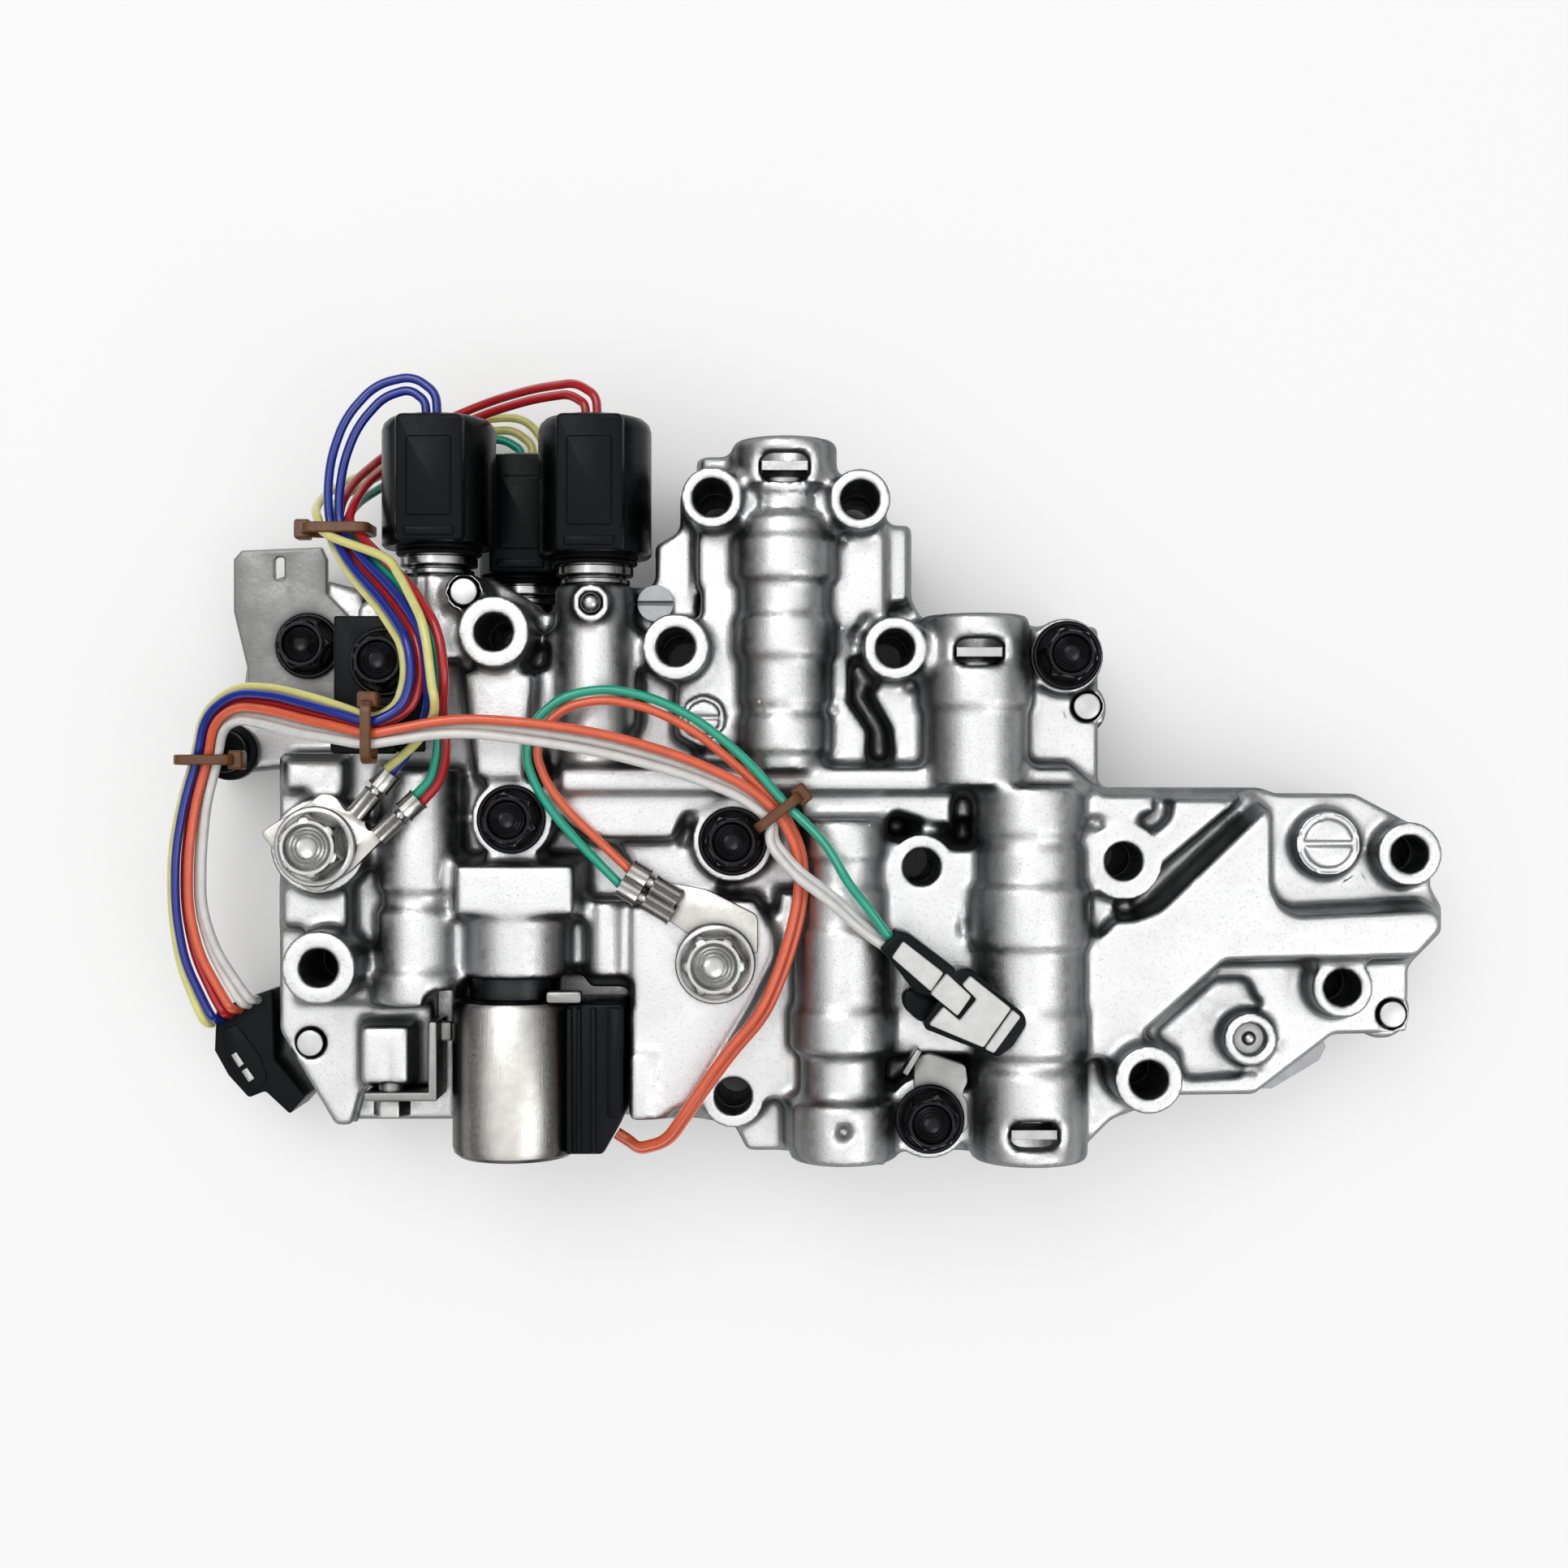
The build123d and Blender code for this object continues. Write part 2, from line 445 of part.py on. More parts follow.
# Leads of the three solenoids up to the first tie
blue_outer = [(-84.4, 78.9, 31.5), (-84.6, 82.6, 31.5), (-88.6, 85.6, 31.4), (-95.2, 84.2, 31.1),
              (-100.6, 78.4, 30.9), (-103.2, 71.2, 30.6), (-103.8, 64.6, 30.5)]
blue_inner = [(-86.3, 78.9, 31.5), (-86.5, 81.2, 31.5), (-89.2, 83.3, 31.4), (-93.8, 82.0, 31.1),
              (-98.4, 77.0, 30.9), (-100.9, 70.8, 30.6), (-101.8, 64.6, 30.5)]
red_outer = [(-56.6, 78.9, 30.0), (-56.8, 82.4, 30.0), (-60.6, 85.2, 27.5), (-68.6, 85.6, 20.5),
             (-78.0, 84.6, 13.0), (-88.0, 81.0, 10.5), (-96.5, 75.0, 14.0), (-101.0, 68.5, 22.0),
             (-102.3, 63.6, 27.0)]
red_inner = [(-58.6, 78.9, 30.0), (-58.8, 81.0, 30.0), (-61.8, 83.2, 27.5), (-69.0, 83.4, 21.5),
             (-78.0, 82.2, 14.8), (-87.0, 78.8, 12.6), (-94.6, 73.4, 16.0), (-98.4, 68.0, 23.5),
             (-99.6, 63.6, 28.6)]
yellow_low = [(-70.6, 74.8, 8.0), (-70.8, 77.6, 8.0), (-74.4, 80.4, 7.5), (-82.0, 80.0, 6.5),
              (-90.6, 76.6, 6.5), (-98.4, 71.4, 11.0), (-103.2, 66.6, 19.5), (-104.4, 62.8, 25.8)]
green_low = [(-72.8, 74.8, 8.0), (-73.0, 76.6, 8.0), (-76.2, 78.6, 8.0), (-83.0, 77.8, 8.6),
             (-90.4, 74.0, 9.0), (-96.6, 69.4, 13.5), (-100.0, 65.4, 20.5), (-100.7, 62.6, 26.0)]

os.makedirs("parts", exist_ok=True)
written = []


def save(part, name):
    """Label a finished piece and write it under its own name."""
    part.label = name
    export_step(part, f"parts/{name}.step")
    written.append(name)


def column(x, y, z_low, z_high, radius):
    """Upright cylinder between two heights."""
    with BuildSketch(Plane.XY.offset(z_low)) as section:
        with Locations((x, y)):
            Circle(radius)
    return extrude(section.sketch, amount=z_high - z_low, mode=Mode.PRIVATE)


def block(x_from, x_to, y_from, y_to, z_from, z_to):
    """Rectangular block between two corners."""
    with BuildSketch(Plane.XY.offset(z_from)) as section:
        with Locations(((x_from + x_to) / 2, (y_from + y_to) / 2)):
            Rectangle(abs(x_to - x_from), abs(y_to - y_from))
    return extrude(section.sketch, amount=z_to - z_from, mode=Mode.PRIVATE)


def prism(points, z_low, z_high, lean=0.0):
    """Upright prism on a polygon, or a cast pad whose walls lean outwards to its foot."""
    with BuildSketch(Plane.XY.offset(z_high)) as section:
        with BuildLine():
            Polyline(*points, close=True)
        make_face()
    return extrude(section.sketch, amount=-(z_high - z_low), taper=-lean, mode=Mode.PRIVATE)


def arch(x, axis_z, foot_z, y_from, y_to, radius):
    """Round-topped length of a barrel, with upright sides down to its foot."""
    y_high = max(y_from, y_to)
    drop = axis_z - foot_z
    with BuildSketch(Plane((x, y_high, axis_z), x_dir=(1, 0, 0), z_dir=(0, -1, 0))) as section:
        Circle(radius)
        with Locations((0, -drop / 2)):
            Rectangle(2 * radius, drop)
        with Locations((0, -drop - radius)):
            Rectangle(4 * radius, 2 * radius, mode=Mode.SUBTRACT)
    return extrude(section.sketch, amount=abs(y_from - y_to), mode=Mode.PRIVATE)


def along_y(x, z, y_from, y_to, radius):
    """Cylinder on an axis parallel to Y."""
    with BuildSketch(Plane((x, max(y_from, y_to), z), x_dir=(1, 0, 0), z_dir=(0, -1, 0))) as section:
        Circle(radius)
    return extrude(section.sketch, amount=abs(y_from - y_to), mode=Mode.PRIVATE)


def channel(points, width, z_low, z_high):
    """Round-ended passage that follows a centre line."""
    with BuildSketch(Plane.XY.offset(z_low)) as section:
        for (x1, y1), (x2, y2) in zip(points, points[1:]):
            with Locations(((x1 + x2) / 2, (y1 + y2) / 2)):
                turn = math.degrees(math.atan2(y2 - y1, x2 - x1))
                SlotCenterToCenter(math.hypot(x2 - x1, y2 - y1), width, rotation=turn)
    return extrude(section.sketch, amount=z_high - z_low, mode=Mode.PRIVATE)


def inward(valve):
    """Direction along Y from a bore's open end to its closed end."""
    return math.copysign(1.0, valve["closed_y"] - valve["open_y"])


def window_y(valve):
    """Middle of the slot that the plug's retainer goes through."""
    return valve["open_y"] + inward(valve) * valve["inset"]


def plug_span(valve):
    """Near and far end of a bore's plug along Y."""
    near = window_y(valve) + inward(valve) * (pin_radius + retainer_gap)
    return near, near + inward(valve) * valve["plug"]


def spool_span(valve):
    """End of a spool against its spring, and its end at the closed end of the bore."""
    return plug_span(valve)[1] + inward(valve) * valve["spring"], valve["closed_y"] - inward(valve) * seat_gap


def upper_casting():
    """Machined casting with the valve bores, seen from above."""
    bodies = [prism(points, deck_z - 1.0, height, draft) for points, height in pads]
    bodies += [column(x, y, split_z, height, radius) for x, y, height, radius in bolt_bores.values()]
    bodies += [column(x, y, split_z, height, radius) for x, y, height, radius in fastener_seats.values()]
    bodies += [column(x, y, split_z, top, dowel_radius + dowel_wall) for x, y, _, top in dowels.values()]
    bodies += [column(x, y, deck_z - 1.0, top, radius) for x, y, top, radius in marks.values()]
    bodies += [column(solenoid_tower_x, port_boss_y, tower_axis_z, tower_axis_z + port_boss_rise, port_boss_radius)]
    for name, valve in valves.items():
        for y_from, y_to, radius in barrel_stations[name]:
            bodies.append(arch(valve["x"], barrel_axis_z, split_z, y_from, y_to, radius))
    for x, axis_z, stations in plain_barrels:
        bodies += [arch(x, axis_z, split_z, y_from, y_to, radius) for y_from, y_to, radius in stations]

    cuts = [prism(pit_outline, deck_z - pit_depth, above_z)]
    cuts += [block(*steel_bay, split_z, above_z)]
    cuts += [channel(points, width, split_z, roof) for points, width, roof in upper_passages]
    posts = [column(x, y, split_z, deck_z, column_radius) for x, y, _, _ in bolt_bores.values()]
    posts += [column(x, y, split_z, deck_z, column_radius) for x, y, _, _ in fastener_seats.values()]
    posts += [column(orifice_boss[0], orifice_boss[1], split_z, orifice_boss[2], orifice_boss[3])]

    bores = []
    for name, valve in valves.items():
        x = valve["x"]
        outside_y = valve["open_y"] - inward(valve)
        bores.append(along_y(x, barrel_axis_z, outside_y, valve["closed_y"], valve["bore"]))
        y = window_y(valve)
        if valve["window"]:
            bores.append(block(x - window_width / 2, x + window_width / 2, y - window_length / 2,
                               y + window_length / 2, barrel_axis_z, above_z))
        else:
            bores.append(column(x, y, barrel_axis_z, above_z, pin_radius + plug_gap))
        for fraction in port_fractions:
            y_port = valve["open_y"] + fraction * (valve["closed_y"] - valve["open_y"])
            half_port = valve["bore"] - port_margin
            bores.append(block(x - half_port, x + half_port, y_port - port_length / 2, y_port + port_length / 2,
                               split_z, barrel_axis_z))
    for x, open_y, sign in nose_bores:
        bores.append(along_y(x, tower_axis_z, open_y - sign, open_y + sign * (nose_length + nose_pocket),
                             nose_radius + nose_gap))
    bores.append(column(solenoid_tower_x, port_boss_y, port_floor_z, above_z, port_radius))
    bores.append(column(*slotted_screw_at, deck_z - slotted_shank_length, above_z,
                        slotted_shank_radius + dowel_gap))
    bores.append(along_y(clamp_screw_x, clamp_screw_z, clamp_face_y - 1, clamp_face_y + clamp_screw_length,
                         clamp_screw_radius + dowel_gap))
    bores += [column(x, y, split_z, above_z, through_radius) for x, y, _, _ in bolt_bores.values()]
    bores += [column(x, y, split_z, above_z, through_radius) for x, y, _, _ in fastener_seats.values()]
    bores += [column(x, y, max(foot, split_z), above_z, dowel_radius + dowel_gap)
              for x, y, foot, _ in dowels.values()]
    bores.append(column(orifice_boss[0], orifice_boss[1], deck_z, above_z, orifice_radius))

    with BuildPart() as casting:
        add(prism(casting_outline, split_z, deck_z))
        add(bodies)
        add(cuts, mode=Mode.SUBTRACT)
        add(posts)
        add(bores, mode=Mode.SUBTRACT)
    return casting.part


def lower_casting():
    """Flat casting whose open passages seal on the gearbox."""
    lobes = [prism(points, 0, height) for points, height in zip(lower_lobes, lobe_heights)]
    lobes.append(prism(plate_tab, 0, lower_height))
    cuts = [channel(points, passage_width, 0, passage_depth) for points in lower_passages]
    cuts += [channel(points, passage_width, lower_height - upper_side_depth, lower_height)
             for points in lower_top_passages]
    cuts.append(block(*can_trough[:4], can_trough[4], lower_height))
    cuts.append(block(*lower_solenoid_notch, 0, lower_height))
    posts = [column(x, y, 0, lower_height, column_radius) for x, y, _, _ in bolt_bores.values()]
    posts += [column(x, y, short_post_foot, lower_height, column_radius)
              for x, y, _, _ in fastener_seats.values()]
    posts += [column(x, y, 0, lower_height, underside_head_radius + underside_wall)
              for x, y in underside_bolts_at]
    posts += [column(x, y, short_post_foot, lower_height, column_radius) for x, y, foot, _ in dowels.values()
              if foot < lower_height]
    holes = [column(x, y, 0, lower_height, through_radius) for x, y, _, _ in bolt_bores.values()]
    holes += [column(x, y, lower_height - short_hole_depth, lower_height, through_radius)
              for x, y, _, _ in fastener_seats.values()]
    holes += [column(x, y, 0, underside_recess, underside_head_radius + underside_gap)
              for x, y in underside_bolts_at]
    holes += [column(x, y, 0, lower_height, through_radius) for x, y in underside_bolts_at]
    holes += [column(x, y, foot, lower_height, dowel_radius + dowel_gap) for x, y, foot, _ in dowels.values()
              if foot < lower_height]
    holes.append(along_y(lower_solenoid_x, lower_solenoid_z, lower_solenoid_seat_y,
                         lower_solenoid_seat_y - lower_nose_pocket, nose_radius + nose_gap))
    holes.append(column(*bracket_bolt, bracket_shank_foot_z - underside_gap, above_z, through_radius))
    with BuildPart() as casting:
        add(prism(casting_outline, 0, lower_height))
        add([block(*skirt, 0, lower_height) for skirt in lower_skirts])
        add(lobes)
        add(cuts, mode=Mode.SUBTRACT)
        add(posts)
        add(holes, mode=Mode.SUBTRACT)
    return casting.part


def separator_plate():
    """Steel plate between the castings, with its metering holes."""
    holes = [column(x, y, 0, above_z, through_radius) for x, y, _, _ in bolt_bores.values()]
    holes += [column(x, y, 0, above_z, through_radius) for x, y, _, _ in fastener_seats.values()]
    holes += [column(x, y, 0, above_z, dowel_radius + dowel_gap) for x, y, foot, _ in dowels.values()
              if foot < lower_height]
    holes += [column(x, y, 0, above_z, plate_hole_radius) for x, y in plate_holes]
    with BuildPart() as plate:
        add([prism(casting_outline, lower_height, split_z), prism(plate_tab, lower_height, split_z)])
        add(holes, mode=Mode.SUBTRACT)
    return plate.part


def flange_bolt(x, y, z_seat, flange, across, foot_z):
    """Hexagon flange bolt that sits on a face and points down."""
    with BuildSketch(Plane.XY.offset(z_seat + flange_thickness)) as hexagon:
        with Locations((x, y)):
            RegularPolygon(across / 2, 6, major_radius=False)
    head = extrude(hexagon.sketch, amount=hex_height, mode=Mode.PRIVATE)
    with BuildPart() as bolt:
        add([column(x, y, z_seat, z_seat + flange_thickness, flange), head,
             column(x, y, foot_z, z_seat, bolt_radius)])
    return bolt.part


def solenoid(name, x, z, seat_y, top_y, radius, nose_depth):
    """Solenoid valve along Y: nose in the casting, steel shell with a window, coil inside it."""
    flange_y = seat_y + nose_flange_thickness
    neck_y = flange_y + neck_length
    shell_y = top_y - cap_length
    with BuildPart() as nose:
        add([along_y(x, z, seat_y - nose_depth, seat_y, nose_radius),
             along_y(x, z, seat_y, flange_y, nose_flange_radius),
             along_y(x, z, flange_y, neck_y, radius - neck_step)])
    with BuildPart() as shell:
        add(along_y(x, z, neck_y, shell_y, radius))
        add(along_y(x, z, neck_y + solenoid_shell_wall, shell_y, radius - solenoid_shell_wall),
            mode=Mode.SUBTRACT)
        add(block(x - solenoid_window, x + solenoid_window, neck_y, shell_y, z, z + radius), mode=Mode.SUBTRACT)
    with BuildPart() as coil:
        add([along_y(x, z, neck_y + solenoid_shell_wall, shell_y, radius - solenoid_shell_wall),
             along_y(x, z, shell_y, top_y, radius - cap_step),
             block(x - solenoid_window + overmould_side_gap, x + solenoid_window - overmould_side_gap,
                   neck_y + overmould_end_gap, top_y, z, z + radius + overmould_rise)])
    save(nose.part, f"solenoid_{name}_nose")
    save(shell.part, f"solenoid_{name}_shell")
    save(coil.part, f"solenoid_{name}_coil")


def seen(points, z):
    """Points traced on the photograph, carried to a height above the mating face."""
    scale = picture_scale / (camera_height - z)
    return [((px - picture_middle) / scale + picture_x, (picture_middle - py) / scale + picture_y)
            for px, py in points]


def crimp(start, end, seat_z):
    """Axis of a crimped barrel from inside its plate to its mouth."""
    (x1, y1), (x2, y2) = seen([start, end], seat_z + crimp_rise)
    return Vector(x1, y1, seat_z + crimp_rise), Vector(x2, y2, seat_z + crimp_rise)


def strands(route, lanes):
    """Paths of the wires that share a route; each lane is a place across and a place up."""
    centres = [Vector(*point[:3]) for point in route]
    paths = []
    for across, up in lanes:
        path = []
        for index, (_, _, _, pitch, rise) in enumerate(route):
            heading = centres[min(index + 1, len(route) - 1)] - centres[max(index - 1, 0)]
            side = Vector(-heading.Y, heading.X, 0).normalized()
            path.append(centres[index] + side * (across * pitch) + Vector(0, 0, up * rise))
        paths.append(path)
    return paths


def traced(route):
    """Route traced on the photograph, in millimetres."""
    return [(*seen([(px, py)], z)[0], z, pitch, rise) for px, py, z, pitch, rise in route]


def at_tie(name):
    """Middle of a cable tie, as a point of a route."""
    return [(*ties[name][0], lay, 2 * lay)]


def tube(path, colour, index):
    """Wire on straight runs joined by the largest arcs that its runs allow."""
    radii = []
    for before, here, after in zip(path, path[1:], path[2:]):
        shorter = min((here - before).length, (after - here).length)
        half_turn = math.radians((here - before).get_angle(after - here)) / 2
        radii.append(min(bend_share * shorter / math.tan(half_turn), largest_bend))
    with BuildPart() as wire:
        with BuildLine():
            line = FilletPolyline(*path, radius=radii)
        with BuildSketch(Plane(path[0], z_dir=path[1] - path[0])):
            Circle(wire_radius)
        sweep(path=line)
    expected = math.pi * wire_radius ** 2 * line.length
    print(f"{colour} {index}: radii {min(radii):.1f} to {max(radii):.1f}, length {line.length:.0f}, "
          f"volume {wire.part.volume / expected:.3f} of section times length")
    return wire.part


save(upper_casting(), "upper_casting")
save(lower_casting(), "lower_casting")
save(separator_plate(), "separator_plate")

for name, valve in valves.items():
    x = valve["x"]
    bore = valve["bore"]
    way = inward(valve)
    spring_side, closed_side = spool_span(valve)
    with BuildPart() as spool:
        add(along_y(x, barrel_axis_z, spring_side, closed_side, neck_radius))
        count = max(2, int(abs(closed_side - spring_side) / land_pitch) + 1)
        step = (abs(closed_side - spring_side) - land_length) / (count - 1)
        for index in range(count):
            y_land = spring_side + way * index * step
            add(along_y(x, barrel_axis_z, y_land, y_land + way * land_length, bore - land_clearance))
    save(spool.part, f"{name}_spool")

    near, far = plug_span(valve)
    with BuildPart() as spring:
        with BuildLine():
            coil_line = Helix(spring_pitch, valve["spring"] - spring_wire, bore - spring_gap - spring_wire / 2,
                              center=(x, far + way * spring_wire / 2, barrel_axis_z), direction=(0, way, 0))
        with BuildSketch(Plane(coil_line @ 0, z_dir=coil_line % 0)):
            Circle(spring_wire / 2)
        sweep(path=coil_line)
    save(spring.part, f"{name}_spring")

with BuildPart() as plugs:
    for valve in valves.values():
        add(along_y(valve["x"], barrel_axis_z, *plug_span(valve), valve["bore"] - plug_gap))
save(plugs.part, "bore_plugs")

with BuildPart() as retainers:
    for valve in valves.values():
        if valve["window"]:
            x = valve["x"]
            y = window_y(valve)
            add(block(x - retainer_width / 2, x + retainer_width / 2, y - retainer_thickness / 2,
                      y + retainer_thickness / 2, barrel_axis_z - retainer_drop,
                      barrel_axis_z + valve["bore"] + retainer_stand))
save(retainers.part, "retainer_plates")

manual = valves["manual"]
with BuildPart() as pin:
    add(column(manual["x"], window_y(manual), barrel_axis_z - retainer_drop, plateau_z + plug_pin_stand,
               pin_radius))
save(pin.part, "plug_pin")

for name, (x, seat_y) in solenoid_seats.items():
    solenoid(name, x, tower_axis_z, seat_y, solenoid_top_y, solenoid_radius, nose_length)
solenoid("c", lower_solenoid_x, lower_solenoid_z, lower_solenoid_seat_y, lower_solenoid_top_y,
         lower_solenoid_radius, lower_nose_length)

# Steel solenoid, its neck and its connector
neck_y = steel_seat_y - steel_collar
with BuildPart() as can:
    add(along_y(steel_solenoid_x, tower_axis_z, neck_y, steel_far_y, steel_solenoid_radius))
    fillet(can.edges().group_by(Axis.Y)[0], steel_can_round)
save(can.part, "solenoid_d_can")
with BuildPart() as neck:
    add([along_y(steel_solenoid_x, tower_axis_z, steel_seat_y, neck_y, steel_solenoid_radius - steel_neck_step),
         along_y(steel_solenoid_x, tower_axis_z, steel_seat_y + nose_length, steel_seat_y, nose_radius)])
save(neck.part, "solenoid_d_nose")
with BuildPart() as connector:
    add(prism(steel_connector_outline, *steel_connector_heights))
    fillet(connector.edges().filter_by(Axis.Z), steel_connector_round)
    add(along_y(steel_solenoid_x, tower_axis_z, neck_y + 1, steel_far_y - 1, steel_solenoid_radius),
        mode=Mode.SUBTRACT)
save(connector.part, "solenoid_d_connector")

# Bolts, pins, plugs and screws
with BuildPart() as black_bolts:
    for name in ("left_recess", "middle_recess", "hidden_seat", "shoulder_seat", "sensor_seat"):
        x, y, seat, _ = fastener_seats[name]
        lift = {"hidden_seat": sheet, "sensor_seat": sheet, "shoulder_seat": washer_thickness}.get(name, 0.0)
        add(flange_bolt(x, y, seat + lift, flange_radius, hex_across, shank_foot_z))
    add(flange_bolt(*bracket_bolt, bracket_seat_z + sheet, flange_radius, hex_across, bracket_shank_foot_z))
save(black_bolts.part, "black_flange_bolts")
with BuildPart() as silver_bolts:
    for name in ("terminal_left", "terminal_middle"):
        x, y, seat, _ = fastener_seats[name]
        add(flange_bolt(x, y, seat + sheet, silver_flange_radius, silver_hex_across, shank_foot_z))
save(silver_bolts.part, "silver_flange_bolts")
x, y, seat, _ = fastener_seats["shoulder_seat"]
with BuildPart() as washer:
    add(column(x, y, seat, seat + washer_thickness, washer_radius))
    add(column(x, y, seat, seat + washer_thickness, bolt_radius + bolt_clearance), mode=Mode.SUBTRACT)
save(washer.part, "shoulder_washer")
with BuildPart() as lower_bolts:
    for x, y in underside_bolts_at:
        with BuildSketch(Plane.XY.offset(underside_recess)) as head:
            with Locations((x, y)):
                Circle(underside_head_radius)
                RegularPolygon(underside_socket, 6, major_radius=False, mode=Mode.SUBTRACT)
        add(extrude(head.sketch, amount=-underside_head_height, mode=Mode.PRIVATE))
        add(column(x, y, underside_recess - underside_socket_depth, underside_recess + underside_shank,
                   bolt_radius))
save(lower_bolts.part, "underside_bolts")
with BuildPart() as pins:
    for x, y, foot, top in dowels.values():
        add(column(x, y, foot, top + dowel_stand, dowel_radius))
save(pins.part, "dowel_pins")
with BuildPart() as ball:
    with Locations((solenoid_tower_x, port_boss_y, port_floor_z + port_radius)):
        Sphere(port_radius - dowel_gap)
save(ball.part, "check_ball")
with BuildPart() as orifice:
    add(column(orifice_boss[0], orifice_boss[1], deck_z, deck_z + orifice_plug_height,
               orifice_radius - dowel_gap))
    with Locations((orifice_boss[0], orifice_boss[1], deck_z + orifice_plug_height)):
        Sphere(orifice_ball_radius)
save(orifice.part, "orifice_plug")
with BuildPart() as screw:
    add(column(*slotted_screw_at, deck_z, deck_z + slotted_head_height, slotted_head_radius))
    add(column(*slotted_screw_at, deck_z - slotted_shank_length, deck_z, slotted_shank_radius))
    with Locations((*slotted_screw_at, deck_z + slotted_head_height)):
        Box(3 * slotted_head_radius, slot_width, 2 * slot_depth, mode=Mode.SUBTRACT)
save(screw.part, "slotted_screw")

# Angle clamp and its screw
with BuildPart() as clamp:
    add(block(clamp_leg_x, clamp_leg_x + clamp_thickness, clamp_leg_y[0] - clamp_thickness, clamp_leg_y[1],
              split_z, clamp_top_z))
    add(block(clamp_foot_x, clamp_leg_x + clamp_thickness, clamp_face_y - clamp_thickness - clamp_gap,
              clamp_face_y - clamp_gap, split_z, clamp_top_z))
    add(block(*clamp_finger, clamp_finger_z, clamp_finger_z + clamp_thickness))
    add(along_y(steel_solenoid_x, tower_axis_z, steel_seat_y, steel_far_y, steel_solenoid_radius + clamp_gap),
        mode=Mode.SUBTRACT)
    add(along_y(clamp_screw_x, clamp_screw_z, clamp_face_y - 2 * clamp_thickness, clamp_face_y,
                clamp_screw_radius + bolt_clearance), mode=Mode.SUBTRACT)
save(clamp.part, "clamp_bracket")
head_y = clamp_face_y - clamp_thickness - clamp_gap
with BuildPart() as clamp_screw:
    with BuildSketch(Plane((clamp_screw_x, head_y, clamp_screw_z), x_dir=(1, 0, 0), z_dir=(0, -1, 0))):
        RegularPolygon(clamp_hex, 6, major_radius=False)
    extrude(amount=clamp_hex_height)
    add(along_y(clamp_screw_x, clamp_screw_z, head_y, clamp_face_y + clamp_screw_length - 1, clamp_screw_radius))
save(clamp_screw.part, "clamp_screw")

# Side bracket with its slot, the round switch and the left connector
with BuildPart() as side:
    add(prism(bracket_outline, bracket_seat_z, bracket_seat_z + sheet))
    add(block(*bracket_slot, 0, above_z), mode=Mode.SUBTRACT)
    add(column(*bracket_bolt, 0, above_z, through_radius), mode=Mode.SUBTRACT)
    fillet(side.edges().filter_by(Axis.Z).group_by(SortBy.LENGTH)[-1], bracket_round)
save(side.part, "side_bracket")
with BuildPart() as switch:
    add(column(*switch_at, lobe_heights[0], lobe_heights[0] + switch_base_height, switch_radius))
    add(column(*switch_at, lobe_heights[0], lobe_heights[0] + switch_height, switch_radius - switch_step))
save(switch.part, "pressure_switch")
with BuildPart() as left_connector:
    add(prism(left_connector_outline, lobe_heights[1], left_connector_top))
save(left_connector.part, "left_connector")

# Sensor over the left tower
block_top = plateau_z + sheet
with BuildPart() as sensor_plate:
    add(prism(sensor_plate_outline, plateau_z, block_top))
    add(column(*fastener_seats["hidden_seat"][:2], 0, above_z, through_radius), mode=Mode.SUBTRACT)
save(sensor_plate.part, "sensor_plate")
with BuildPart() as sensor_block:
    add(prism(sensor_block_outline, block_top, block_top + sensor_block_height))
    fillet(sensor_block.edges().filter_by(Axis.Z), sensor_block_round)
save(sensor_block.part, "sensor_block")

# Speed sensor connector over the ratio valve
barrel_clear = [along_y(valves["ratio"]["x"], barrel_axis_z, 0, 2 * front_open_y, ratio_clear_radius),
                along_y(valves["manual"]["x"], barrel_axis_z, 0, 2 * front_open_y, manual_clear_radius)]
for name, outline, high in (("harness_plug", plug_px, plug_top), ("plug_latch", latch_px, latch_top),
                            ("sensor_socket", socket_px, socket_top)):
    with BuildPart() as housing:
        add(prism(seen(outline, high), housing_foot, high))
        fillet(housing.edges().filter_by(Axis.Z), housing_round)
        add(barrel_clear, mode=Mode.SUBTRACT)
    save(housing.part, name)
seat_x, seat_y, seat_z, _ = fastener_seats["sensor_seat"]
with BuildPart() as stand:
    add(prism(seen(bracket_px, seat_z + sheet), seat_z, seat_z + sheet))
    add(barrel_clear, mode=Mode.SUBTRACT)
    add(column(seat_x, seat_y, 0, above_z, through_radius), mode=Mode.SUBTRACT)
save(stand.part, "sensor_bracket")

# Crimped terminals under the silver bolts
for name, outline, barrels, seat in (("twin_terminal", twin_terminal_px, twin_barrels_px, "terminal_left"),
                                     ("single_terminal", single_terminal_px, single_barrels_px, "terminal_middle")):
    bolt_x, bolt_y, seat_z, _ = fastener_seats[seat]
    with BuildPart() as terminal:
        add(prism(seen(outline, seat_z + sheet), seat_z, seat_z + sheet))
        for start, end in barrels:
            inner, outer = crimp(start, end, seat_z)
            with BuildSketch(Plane(inner, z_dir=outer - inner)) as section:
                Circle(crimp_radius)
            add(extrude(section.sketch, amount=(outer - inner).length, mode=Mode.PRIVATE))
        add(column(bolt_x, bolt_y, 0, above_z, through_radius), mode=Mode.SUBTRACT)
    save(terminal.part, name)

